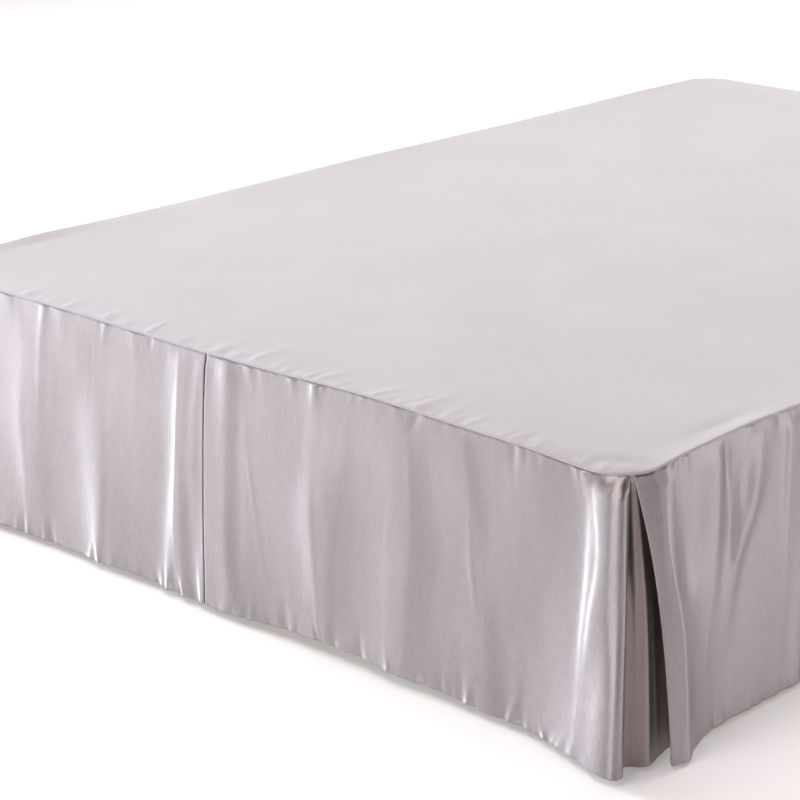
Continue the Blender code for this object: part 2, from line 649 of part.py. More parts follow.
def main():
    """Build the bed skirt and its base."""
    clear_scene()
    collection = bpy.data.collections.new("bed_skirt")
    bpy.context.scene.collection.children.link(collection)
    add_mattress_base(collection)
    add_frame(collection)
    add_deck(collection)
    for drop in skirt_drops():
        add_drop(drop, collection)
    for backing in skirt_backings():
        add_backing(backing, collection)
    hang_from_origin(collection)


main()
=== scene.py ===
"""Dresses the bed skirt: satin drops, a matte deck, stitched hems and the plain base under them.

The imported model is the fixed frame. Each sheet of cloth is built here as a thin, turned and hemmed
sheet on the folds of its solid, and stands for that solid. Metres, +Z up, the foot faces -Y.
"""

import json
import logging
import math
from dataclasses import dataclass
from enum import Enum

import bpy
import numpy as np
from mathutils import Euler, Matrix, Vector

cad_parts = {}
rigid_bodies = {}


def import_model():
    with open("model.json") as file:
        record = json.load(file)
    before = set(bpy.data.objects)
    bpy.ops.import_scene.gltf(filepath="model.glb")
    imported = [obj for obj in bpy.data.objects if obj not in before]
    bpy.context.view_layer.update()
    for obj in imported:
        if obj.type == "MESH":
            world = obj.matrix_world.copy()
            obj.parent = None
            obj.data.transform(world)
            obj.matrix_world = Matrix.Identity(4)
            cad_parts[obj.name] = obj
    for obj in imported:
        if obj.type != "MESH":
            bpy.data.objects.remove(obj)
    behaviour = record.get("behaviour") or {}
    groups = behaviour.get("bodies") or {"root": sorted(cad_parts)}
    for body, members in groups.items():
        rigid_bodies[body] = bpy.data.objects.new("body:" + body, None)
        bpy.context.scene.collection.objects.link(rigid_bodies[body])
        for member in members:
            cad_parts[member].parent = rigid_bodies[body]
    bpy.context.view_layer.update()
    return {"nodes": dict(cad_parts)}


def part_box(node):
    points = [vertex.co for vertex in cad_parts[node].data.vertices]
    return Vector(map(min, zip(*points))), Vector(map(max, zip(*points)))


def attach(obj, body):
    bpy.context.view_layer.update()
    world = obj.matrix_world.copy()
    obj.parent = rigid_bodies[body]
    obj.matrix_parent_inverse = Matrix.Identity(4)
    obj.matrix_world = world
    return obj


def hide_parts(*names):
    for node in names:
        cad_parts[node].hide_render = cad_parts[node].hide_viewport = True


log = logging.getLogger("bed_skirt")

BODY = "root"
NEARLY_NONE = 1e-9

Array = np.ndarray
Piece = bpy.types.Object
Socket = bpy.types.NodeSocket
Pair = tuple[float, float]
Triple = tuple[float, float, float]
Five = tuple[float, float, float, float, float]


class Side(Enum):
    """The sides of the bed that a drop hangs from."""

    LEFT = "left"
    FOOT = "foot"
    RIGHT = "right"


class Slot(Enum):
    """The record's material slots."""

    SATIN = "satin"
    DECK_CLOTH = "deck_cloth"
    TICKING = "ticking"
    TIMBER = "timber"


@dataclass(frozen=True)
class Fold:
    """One upright fold, seen from outside.

    The places are metres from the sharp foot corner, or from the middle of a corner inset, and the
    depths are metres outward. Each has five values: at the seam, a quarter, half and three quarters
    of the way down, and at the hem. The half widths are to the crest's left and right.
    """

    places: Five
    left: float
    right: float
    depths: Five

    def height(self, apart: Array, down: Array) -> Array:
        """How far the fold stands out.

        Args:
            apart: Metres past its crest.
            down: Shares of the drop, 0 at the seam and 1 at the hem.

        Returns:
            Metres outward at each place.
        """
        width = np.where(apart < 0, self.left, self.right)
        return through(self.depths, down) * bump(apart, width)

    def mirrored(self) -> "Fold":
        """The same fold, left for right."""
        return Fold(tuple(-place for place in self.places), self.right, self.left, self.depths)


@dataclass(frozen=True)
class Wave:
    """One soft rise of the seam or the hem, as a place from the sharp foot corner."""

    at: float
    width: float
    rise: float


@dataclass(frozen=True)
class Pucker:
    """One short wrinkle that starts at a seam or hem and fades out away from it.

    Its place is metres from the sharp foot corner, or along the seam once it is placed. It leans
    sideways by that share of its way, and a depth below 0 falls in.
    """

    at: float
    width: float
    length: float
    depth: float
    lean: float


def scaled(puckers: tuple[Pucker, ...], width: float, depth: float) -> tuple[Pucker, ...]:
    """The same puckers, so many times as wide and as deep."""
    return tuple(
        Pucker(item.at, width * item.width, item.length, depth * item.depth, item.lean) for item in puckers
    )


def bump(distance: Array, width: float) -> Array:
    """A soft rise of height 1."""
    return np.exp(-((distance / width) ** 2))


def smooth(share: Array) -> Array:
    """Ease from 0 to 1."""
    share = np.clip(share, 0.0, 1.0)
    return share * share * (3 - 2 * share)


def through(values: Five, down: Array) -> Array:
    """The smooth curve through values that are evenly spaced from the seam to the hem.

    Args:
        values: The values, the first at the seam and the last at the hem.
        down: Shares of the drop, 0 at the seam and 1 at the hem.

    Returns:
        The value at each share.
    """
    padded = np.array([2 * values[0] - values[1], *values, 2 * values[-1] - values[-2]])
    reached = np.clip(down, 0.0, 1.0) * (len(values) - 1)
    span = np.minimum(reached.astype(int), len(values) - 2)
    share = reached - span
    before, start, end, after = (padded[span + step] for step in range(4))
    bend = 2 * before - 5 * start + 4 * end - after
    twist = 3 * (start - end) + after - before
    return start + 0.5 * share * (end - before + share * (bend + share * twist))


def run_along(points: Array) -> Array:
    """The distance walked from the first of a line of points to each of them."""
    return np.concatenate([[0.0], np.cumsum(np.linalg.norm(np.diff(points, axis=0), axis=-1))])


def even_places(start: float, end: float, spacing: float) -> Array:
    """Even places from start to end, about the given spacing apart."""
    return np.linspace(start, end, max(2, round((end - start) / spacing) + 1))


FOOT_FOLDS = (
    Fold((0.028, 0.026, 0.025, 0.025, 0.025), 0.028, 0.006, (0.0140, 0.0190, 0.0150, 0.0030, 0.0000)),
    Fold((0.025, 0.025, 0.025, 0.025, 0.025), 0.020, 0.006, (0.0000, 0.0000, 0.0050, 0.0250, 0.0260)),
    Fold((0.060, 0.044, 0.052, 0.058, 0.054), 0.012, 0.018, (0.0015, 0.0025, 0.0030, 0.0012, 0.0000)),
    Fold((0.070, 0.064, 0.064, 0.068, 0.070), 0.008, 0.014, (0.0000, 0.0012, 0.0008, 0.0000, 0.0000)),
    Fold((0.036, 0.036, 0.036, 0.036, 0.038), 0.006, 0.006, (0.0000, 0.0000, 0.0003, 0.0008, 0.0008)),
    Fold((0.026, 0.026, 0.026, 0.026, 0.026), 0.006, 0.006, (0.0000, 0.0000, 0.0003, 0.0008, 0.0008)),
    Fold((0.152, 0.150, 0.150, 0.150, 0.150), 0.040, 0.034, (0.0015, 0.0004, 0.0000, 0.0005, 0.0008)),
    Fold((0.172, 0.172, 0.172, 0.172, 0.172), 0.010, 0.010, (0.0000, 0.0000, 0.0000, 0.0002, 0.0015)),
    Fold((0.284, 0.262, 0.250, 0.250, 0.250), 0.060, 0.018, (0.0018, 0.0028, 0.0004, 0.0000, 0.0000)),
    Fold((0.240, 0.240, 0.240, 0.230, 0.215), 0.050, 0.017, (0.0000, 0.0000, 0.0000, 0.0030, 0.0034)),
    Fold((0.380, 0.372, 0.360, 0.369, 0.364), 0.056, 0.028, (0.0015, 0.0026, 0.0048, 0.0058, 0.0066)),
    Fold((0.480, 0.484, 0.500, 0.508, 0.503), 0.026, 0.015, (0.0000, 0.0004, 0.0004, 0.0010, 0.0014)),
    Fold((0.527, 0.529, 0.538, 0.527, 0.520), 0.027, 0.060, (0.0018, 0.0018, 0.0050, 0.0044, 0.0006)),
    Fold((0.698, 0.700, 0.701, 0.700, 0.690), 0.022, 0.017, (0.0028, 0.0020, 0.0010, 0.0005, 0.0004)),
    Fold((0.700, 0.702, 0.703, 0.702, 0.692), 0.090, 0.017, (0.0000, 0.0020, 0.0030, 0.0036, 0.0026)),
    Fold((0.690, 0.690, 0.690, 0.688, 0.680), 0.050, 0.042, (0.0000, 0.0000, 0.0010, 0.0030, 0.0064)),
    Fold((0.672, 0.668, 0.662, 0.659, 0.655), 0.009, 0.034, (0.0000, 0.0000, 0.0007, 0.0005, 0.0000)),
    Fold((0.738, 0.738, 0.738, 0.738, 0.738), 0.008, 0.020, (0.0000, 0.0018, 0.0016, 0.0016, 0.0004)),
    Fold((0.747, 0.758, 0.762, 0.752, 0.738), 0.014, 0.020, (0.0024, 0.0020, 0.0020, 0.0008, 0.0030)),
    Fold((0.790, 0.793, 0.797, 0.806, 0.818), 0.020, 0.027, (0.0026, 0.0038, 0.0042, 0.0050, 0.0040)),
    Fold((0.794, 0.794, 0.793, 0.792, 0.786), 0.013, 0.014, (0.0000, 0.0000, 0.0008, 0.0018, 0.0036)),
    Fold((0.988, 0.986, 0.984, 0.975, 0.968), 0.030, 0.052, (0.0000, 0.0000, 0.0034, 0.0056, 0.0048)),
    Fold((0.980, 0.978, 0.975, 0.971, 0.978), 0.012, 0.012, (0.0000, 0.0000, 0.0004, 0.0011, 0.0016)),
    Fold((1.160, 1.136, 1.142, 1.130, 1.124), 0.040, 0.046, (0.0006, 0.0018, 0.0046, 0.0056, 0.0020)),
    Fold((1.092, 1.096, 1.100, 1.100, 1.100), 0.016, 0.020, (0.0004, 0.0002, 0.0000, 0.0000, 0.0000)),
    Fold((1.205, 1.202, 1.200, 1.196, 1.190), 0.034, 0.034, (0.0000, 0.0006, 0.0010, 0.0026, 0.0030)),
    Fold((1.292, 1.296, 1.300, 1.296, 1.284), 0.018, 0.024, (0.0010, 0.0046, 0.0054, 0.0050, 0.0038)),
    Fold((1.328, 1.334, 1.332, 1.326, 1.320), 0.010, 0.012, (0.0006, 0.0020, 0.0020, 0.0030, 0.0030)),
)

LONG_SIDE_FOLDS = (
    Fold((0.045, 0.051, 0.065, 0.069, 0.068), 0.015, 0.022, (0.0015, 0.0060, 0.0085, 0.0090, 0.0085)),
    Fold((0.020, 0.034, 0.044, 0.046, 0.046), 0.007, 0.008, (0.0004, 0.0008, 0.0008, 0.0008, 0.0008)),
    Fold((0.158, 0.156, 0.150, 0.150, 0.150), 0.032, 0.014, (0.0030, 0.0055, 0.0030, 0.0000, 0.0000)),
    Fold((0.174, 0.186, 0.186, 0.186, 0.186), 0.009, 0.012, (-0.0030, -0.0012, 0.0000, 0.0000, 0.0)),
    Fold((0.252, 0.234, 0.190, 0.180, 0.180), 0.022, 0.019, (0.0000, 0.0060, 0.0040, 0.0000, 0.0000)),
    Fold((0.150, 0.140, 0.105, 0.100, 0.100), 0.030, 0.080, (0.0000, 0.0010, 0.0070, 0.0050, 0.0030)),
    Fold((0.300, 0.300, 0.300, 0.300, 0.300), 0.080, 0.050, (0.0020, 0.0040, 0.0065, 0.0065, 0.0050)),
    Fold((0.314, 0.312, 0.312, 0.312, 0.312), 0.009, 0.024, (0.0025, 0.0025, 0.0010, 0.0000, 0.0000)),
    Fold((0.352, 0.350, 0.348, 0.348, 0.346), 0.020, 0.014, (0.0010, 0.0015, 0.0025, 0.0040, 0.0040)),
    Fold((0.444, 0.440, 0.436, 0.430, 0.424), 0.036, 0.028, (0.0015, 0.0040, 0.0060, 0.0055, 0.0030)),
    Fold((0.520, 0.518, 0.512, 0.506, 0.500), 0.014, 0.022, (0.0000, 0.0012, 0.0024, 0.0036, 0.0032)),
    Fold((0.606, 0.604, 0.606, 0.598, 0.590), 0.026, 0.044, (0.0015, 0.0050, 0.0065, 0.0050, 0.0020)),
    Fold((0.690, 0.684, 0.676, 0.672, 0.668), 0.018, 0.016, (0.0018, 0.0012, 0.0000, 0.0006, 0.0024)),
    Fold((0.776, 0.770, 0.766, 0.756, 0.748), 0.024, 0.050, (0.0006, 0.0038, 0.0070, 0.0055, 0.0025)),
    Fold((0.850, 0.856, 0.850, 0.846, 0.842), 0.040, 0.024, (0.0000, 0.0012, 0.0025, 0.0020, 0.0025)),
    Fold((0.926, 0.930, 0.926, 0.918, 0.912), 0.016, 0.030, (0.0012, 0.0040, 0.0055, 0.0045, 0.0025)),
    Fold((0.992, 0.990, 0.988, 0.984, 0.982), 0.014, 0.020, (0.0000, 0.0012, 0.0018, 0.0024, 0.0024)),
    Fold((1.100, 1.102, 1.106, 1.110, 1.114), 0.030, 0.018, (0.0018, 0.0055, 0.0070, 0.0055, 0.0025)),
    Fold((1.196, 1.190, 1.186, 1.192, 1.200), 0.034, 0.044, (0.0006, 0.0018, 0.0030, 0.0025, 0.0018)),
    Fold((1.262, 1.266, 1.270, 1.280, 1.292), 0.040, 0.024, (0.0000, 0.0025, 0.0065, 0.0055, 0.0025)),
    Fold((1.344, 1.338, 1.336, 1.344, 1.352), 0.016, 0.018, (0.0018, 0.0018, 0.0006, 0.0012, 0.0025)),
    Fold((1.424, 1.424, 1.428, 1.438, 1.448), 0.028, 0.046, (0.0006, 0.0045, 0.0070, 0.0055, 0.0018)),
    Fold((1.510, 1.506, 1.504, 1.500, 1.496), 0.044, 0.026, (0.0000, 0.0006, 0.0025, 0.0030, 0.0030)),
    Fold((1.598, 1.600, 1.602, 1.608, 1.614), 0.022, 0.040, (0.0012, 0.0050, 0.0065, 0.0045, 0.0018)),
    Fold((1.690, 1.694, 1.700, 1.702, 1.702), 0.036, 0.026, (0.0006, 0.0018, 0.0025, 0.0025, 0.0025)),
    Fold((1.770, 1.764, 1.758, 1.752, 1.746), 0.026, 0.050, (0.0006, 0.0038, 0.0070, 0.0055, 0.0025)),
    Fold((1.862, 1.860, 1.862, 1.866, 1.868), 0.020, 0.022, (0.0018, 0.0018, 0.0012, 0.0018, 0.0030)),
    Fold((1.944, 1.946, 1.950, 1.954, 1.960), 0.034, 0.022, (0.0006, 0.0038, 0.0055, 0.0045, 0.0025)),
)

FINE_FOOT_FOLDS = (
    Fold((0.016, 0.018, 0.020, 0.019, 0.014), 0.003, 0.003, (0.0002, 0.0005, 0.0006, 0.0006, 0.0004)),
    Fold((0.024, 0.027, 0.026, 0.022, 0.020), 0.003, 0.003, (0.0000, 0.0003, 0.0004, 0.0006, 0.0004)),
    Fold((0.070, 0.054, 0.060, 0.064, 0.064), 0.004, 0.004, (0.0000, -0.0006, -0.0008, -0.0002, 0.0)),
    Fold((0.262, 0.262, 0.256, 0.240, 0.240), 0.006, 0.005, (0.0000, 0.0000, 0.0008, 0.0000, 0.0000)),
    Fold((0.368, 0.362, 0.356, 0.356, 0.356), 0.007, 0.006, (0.0000, 0.0003, 0.0000, 0.0000, 0.0000)),
    Fold((0.396, 0.392, 0.397, 0.394, 0.389), 0.008, 0.010, (0.0000, 0.0000, 0.0003, 0.0003, 0.0003)),
    Fold((0.532, 0.534, 0.538, 0.530, 0.522), 0.007, 0.005, (0.0000, 0.0000, 0.0003, 0.0005, 0.0000)),
    Fold((0.672, 0.667, 0.652, 0.634, 0.606), 0.004, 0.006, (0.0000, 0.0003, 0.0004, 0.0002, 0.0000)),
    Fold((0.794, 0.798, 0.803, 0.805, 0.800), 0.004, 0.004, (0.0002, 0.0005, 0.0005, 0.0005, 0.0002)),
    Fold((0.974, 0.975, 0.968, 0.966, 0.972), 0.007, 0.007, (0.0000, 0.0000, 0.0003, 0.0004, 0.0004)),
    Fold((1.092, 1.104, 1.108, 1.110, 1.110), 0.006, 0.008, (0.0004, 0.0004, 0.0002, 0.0000, 0.0000)),
    Fold((1.150, 1.146, 1.152, 1.142, 1.138), 0.010, 0.010, (0.0000, 0.0003, 0.0005, 0.0005, 0.0002)),
)

FINE_SIDE_FOLDS = (
    Fold((0.030, 0.042, 0.052, 0.056, 0.056), 0.005, 0.005, (0.0001, 0.0003, 0.0003, 0.0003, 0.0003)),
    Fold((0.018, 0.028, 0.037, 0.040, 0.040), 0.004, 0.005, (0.0000, 0.0002, 0.0003, 0.0003, 0.0003)),
    Fold((0.046, 0.052, 0.066, 0.070, 0.069), 0.005, 0.006, (0.0002, 0.0006, 0.0008, 0.0008, 0.0006)),
    Fold((0.176, 0.188, 0.186, 0.186, 0.186), 0.004, 0.006, (-0.0005, -0.0003, 0.0000, 0.0000, 0.0)),
    Fold((0.150, 0.150, 0.146, 0.134, 0.134), 0.006, 0.006, (0.0000, 0.0000, 0.0004, 0.0005, 0.0000)),
    Fold((0.212, 0.206, 0.196, 0.190, 0.190), 0.008, 0.010, (0.0005, 0.0012, 0.0004, 0.0000, 0.0000)),
)

INSET_FOLDS = (
    Fold((0.002, 0.008, 0.016, 0.018, 0.018), 0.010, 0.007, (0.0010, 0.0030, 0.0050, 0.0060, 0.0060)),
    Fold((-0.016, -0.008, -0.002, 0.0, 0.0), 0.008, 0.008, (0.0, -0.0010, -0.0020, -0.0030, -0.0040)),
    Fold((0.000, 0.003, 0.006, 0.007, 0.007), 0.004, 0.003, (0.0000, 0.0004, 0.0010, 0.0014, 0.0014)),
    Fold((0.004, 0.013, 0.023, 0.027, 0.028), 0.003, 0.004, (0.0000, 0.0005, 0.0012, 0.0016, 0.0016)),
)

FOOT_SEAM_WAVES = (
    Wave(0.060, 0.085, -0.0065),
    Wave(0.440, 0.130, 0.0045),
    Wave(0.780, 0.140, -0.0015),
    Wave(1.050, 0.130, 0.0010),
    Wave(1.320, 0.080, -0.0050),
)
LONG_SEAM_WAVES = (
    Wave(0.030, 0.030, -0.0030),
    Wave(0.230, 0.090, 0.0030),
    Wave(0.560, 0.160, -0.0012),
    Wave(0.980, 0.150, 0.0015),
    Wave(1.430, 0.170, -0.0010),
    Wave(1.800, 0.140, 0.0012),
)
FOOT_HEM_WAVES = (
    Wave(0.470, 0.170, 0.0085),
    Wave(0.905, 0.060, 0.0020),
)
LONG_HEM_WAVES = (
    Wave(0.560, 0.160, 0.0040),
    Wave(1.240, 0.200, 0.0030),
    Wave(1.760, 0.160, 0.0035),
)

FOOT_SEAM_PUCKERS = (
    Pucker(0.012, 0.0030, 0.060, 0.0016, -0.60),
    Pucker(0.022, 0.0035, 0.050, 0.0012, -0.95),
    Pucker(0.038, 0.0040, 0.035, -0.0010, -0.70),
    Pucker(0.080, 0.0080, 0.055, 0.0040, 0.20),
    Pucker(0.094, 0.0030, 0.060, 0.0014, 0.22),
    Pucker(0.104, 0.0040, 0.030, -0.0010, 0.10),
    Pucker(0.155, 0.0060, 0.035, -0.0012, 0.00),
    Pucker(0.172, 0.0040, 0.030, -0.0016, 0.00),
    Pucker(0.192, 0.0050, 0.070, -0.0022, 0.00),
    Pucker(0.352, 0.0060, 0.055, -0.0022, -0.40),
    Pucker(0.388, 0.0080, 0.030, 0.0010, -0.20),
    Pucker(0.446, 0.0040, 0.022, 0.0014, -0.50),
    Pucker(0.519, 0.0035, 0.022, 0.0018, 0.00),
    Pucker(0.533, 0.0070, 0.060, 0.0042, 0.00),
    Pucker(0.576, 0.0060, 0.045, 0.0024, 0.10),
    Pucker(0.610, 0.0030, 0.018, 0.0010, -0.30),
    Pucker(0.634, 0.0060, 0.040, 0.0012, 0.10),
    Pucker(0.658, 0.0070, 0.065, 0.0020, 0.15),
    Pucker(0.704, 0.0140, 0.110, 0.0034, 0.10),
    Pucker(0.856, 0.0040, 0.036, -0.0016, -0.10),
    Pucker(0.892, 0.0100, 0.110, 0.0012, 0.00),
    Pucker(0.950, 0.0055, 0.050, 0.0024, -0.28),
    Pucker(0.971, 0.0050, 0.026, 0.0012, 0.00),
    Pucker(1.048, 0.0110, 0.080, 0.0016, -0.08),
    Pucker(1.088, 0.0070, 0.090, 0.0026, -0.14),
    Pucker(1.172, 0.0120, 0.070, 0.0018, 0.00),
)
FOOT_HEM_PUCKERS = (
    Pucker(0.046, 0.0040, 0.040, 0.0014, 0.00),
    Pucker(0.070, 0.0050, 0.030, 0.0016, 0.20),
    Pucker(0.092, 0.0060, 0.034, 0.0022, 0.30),
    Pucker(0.106, 0.0050, 0.026, 0.0018, 0.50),
    Pucker(0.121, 0.0040, 0.034, 0.0030, -0.50),
    Pucker(0.164, 0.0055, 0.062, -0.0036, 0.00),
    Pucker(0.185, 0.0040, 0.046, 0.0030, 0.25),
    Pucker(0.242, 0.0040, 0.044, -0.0024, 0.00),
    Pucker(0.254, 0.0035, 0.055, 0.0018, 0.00),
    Pucker(0.267, 0.0055, 0.064, -0.0040, 0.00),
    Pucker(0.283, 0.0040, 0.038, -0.0022, 0.00),
    Pucker(0.302, 0.0045, 0.046, -0.0028, 0.00),
    Pucker(0.330, 0.0060, 0.036, -0.0026, 0.00),
    Pucker(0.357, 0.0055, 0.040, -0.0026, 0.10),
    Pucker(0.390, 0.0040, 0.050, 0.0026, -0.25),
    Pucker(0.430, 0.0040, 0.034, 0.0016, -0.30),
    Pucker(0.446, 0.0055, 0.056, -0.0038, 0.00),
    Pucker(0.496, 0.0060, 0.070, -0.0044, 0.00),
    Pucker(0.514, 0.0050, 0.034, -0.0020, -0.30),
    Pucker(0.524, 0.0030, 0.055, -0.0026, -0.30),
    Pucker(0.564, 0.0055, 0.046, -0.0028, 0.10),
    Pucker(0.588, 0.0070, 0.066, -0.0044, -0.05),
    Pucker(0.650, 0.0050, 0.050, 0.0022, 0.00),
    Pucker(0.668, 0.0045, 0.040, 0.0018, 0.00),
    Pucker(0.686, 0.0050, 0.036, -0.0022, 0.00),
    Pucker(0.751, 0.0055, 0.095, 0.0044, -0.05),
    Pucker(0.774, 0.0060, 0.044, 0.0028, -0.30),
    Pucker(0.786, 0.0045, 0.050, 0.0034, -0.30),
    Pucker(0.798, 0.0040, 0.055, -0.0034, 0.00),
    Pucker(0.811, 0.0050, 0.060, -0.0040, 0.10),
    Pucker(0.822, 0.0040, 0.060, 0.0036, 0.00),
    Pucker(0.834, 0.0040, 0.050, 0.0030, -0.20),
    Pucker(0.846, 0.0040, 0.034, -0.0022, -0.40),
    Pucker(0.880, 0.0050, 0.032, -0.0014, 0.00),
    Pucker(0.945, 0.0060, 0.034, 0.0018, 0.00),
    Pucker(0.971, 0.0040, 0.050, 0.0024, -0.20),
    Pucker(0.984, 0.0050, 0.044, -0.0028, 0.10),
    Pucker(0.994, 0.0050, 0.036, 0.0024, 0.20),
    Pucker(1.085, 0.0060, 0.070, -0.0038, 0.00),
    Pucker(1.097, 0.0040, 0.056, 0.0020, -0.10),
    Pucker(1.139, 0.0040, 0.055, 0.0024, 0.10),
    Pucker(1.148, 0.0035, 0.070, -0.0024, 0.00),
    Pucker(1.166, 0.0045, 0.050, 0.0022, 0.10),
    Pucker(1.240, 0.0060, 0.060, -0.0030, 0.00),
    Pucker(1.275, 0.0050, 0.050, 0.0026, 0.10),
)
SIDE_SEAM_PUCKERS = (
    Pucker(0.024, 0.0030, 0.030, 0.0012, 0.30),
    Pucker(0.034, 0.0035, 0.050, 0.0016, 0.20),
    Pucker(0.043, 0.0030, 0.030, -0.0014, 0.10),
    Pucker(0.052, 0.0035, 0.036, 0.0014, 0.00),
    Pucker(0.062, 0.0035, 0.026, -0.0014, -0.20),
    Pucker(0.074, 0.0040, 0.030, 0.0014, -0.30),
    Pucker(0.092, 0.0060, 0.070, 0.0018, 0.05),
    Pucker(0.228, 0.0080, 0.050, 0.0014, -0.10),
    Pucker(0.290, 0.0070, 0.050, -0.0018, 0.00),
    Pucker(0.460, 0.0060, 0.050, 0.0020, 0.10),
    Pucker(0.640, 0.0070, 0.060, 0.0024, 0.00),
    Pucker(0.812, 0.0060, 0.045, -0.0020, -0.20),
    Pucker(1.160, 0.0070, 0.060, 0.0024, 0.10),
    Pucker(1.390, 0.0060, 0.050, 0.0022, 0.00),
    Pucker(1.560, 0.0070, 0.055, -0.0022, 0.10),
    Pucker(1.830, 0.0060, 0.050, 0.0022, -0.10),
)
SIDE_HEM_PUCKERS = (
    Pucker(0.120, 0.0050, 0.040, -0.0020, 0.00),
    Pucker(0.150, 0.0045, 0.050, -0.0026, 0.00),
    Pucker(0.172, 0.0045, 0.036, 0.0018, 0.00),
    Pucker(0.236, 0.0050, 0.026, 0.0016, 0.20),
    Pucker(0.275, 0.0050, 0.030, -0.0016, 0.00),
    Pucker(0.330, 0.0050, 0.040, 0.0018, -0.20),
    Pucker(0.357, 0.0040, 0.060, -0.0030, 0.00),
    Pucker(0.480, 0.0060, 0.060, -0.0030, 0.00),
    Pucker(0.575, 0.0050, 0.050, 0.0026, 0.10),
    Pucker(0.730, 0.0060, 0.060, -0.0034, 0.00),
    Pucker(0.890, 0.0050, 0.050, 0.0026, 0.00),
    Pucker(1.085, 0.0050, 0.060, 0.0030, 0.10),
    Pucker(1.300, 0.0060, 0.060, -0.0032, 0.00),
    Pucker(1.470, 0.0050, 0.050, 0.0026, 0.00),
    Pucker(1.650, 0.0060, 0.060, -0.0032, 0.10),
    Pucker(1.900, 0.0050, 0.050, 0.0026, 0.00),
)
DECK_FOOT_PUCKERS = (
    Pucker(0.092, 0.0040, 0.040, 0.0007, 0.10),
    Pucker(0.108, 0.0040, 0.036, -0.0007, 0.00),
    Pucker(0.163, 0.0050, 0.075, 0.0007, 0.00),
    Pucker(0.217, 0.0060, 0.060, 0.0011, 0.05),
    Pucker(0.272, 0.0060, 0.110, 0.0009, 0.00),
    Pucker(0.312, 0.0060, 0.110, 0.0009, -0.08),
    Pucker(0.360, 0.0075, 0.110, 0.0024, 0.00),
    Pucker(0.383, 0.0060, 0.100, 0.0011, 0.00),
    Pucker(0.404, 0.0030, 0.034, 0.0007, 0.00),
    Pucker(0.415, 0.0035, 0.050, 0.0008, 0.10),
    Pucker(0.425, 0.0035, 0.040, -0.0008, 0.05),
    Pucker(0.437, 0.0070, 0.100, 0.0014, 0.16),
    Pucker(0.495, 0.0060, 0.060, 0.0012, 0.00),
    Pucker(0.532, 0.0095, 0.110, 0.0018, 0.03),
    Pucker(0.555, 0.0070, 0.060, 0.0011, 0.10),
    Pucker(0.583, 0.0045, 0.040, -0.0011, -0.10),
    Pucker(0.660, 0.0080, 0.140, 0.0015, -0.03),
    Pucker(0.695, 0.0060, 0.060, 0.0009, 0.05),
    Pucker(0.733, 0.0080, 0.090, 0.0012, 0.05),
    Pucker(0.752, 0.0050, 0.060, -0.0008, 0.00),
    Pucker(0.800, 0.0055, 0.060, 0.0008, 0.00),
    Pucker(0.862, 0.0055, 0.090, 0.0015, -0.22),
    Pucker(0.955, 0.0080, 0.065, 0.0011, -0.20),
    Pucker(0.980, 0.0060, 0.045, 0.0008, -0.10),
    Pucker(1.040, 0.0060, 0.060, 0.0013, -0.28),
    Pucker(1.064, 0.0060, 0.045, 0.0010, -0.20),
    Pucker(1.086, 0.0060, 0.050, 0.0009, -0.10),
    Pucker(1.137, 0.0080, 0.065, 0.0012, -0.18),
)


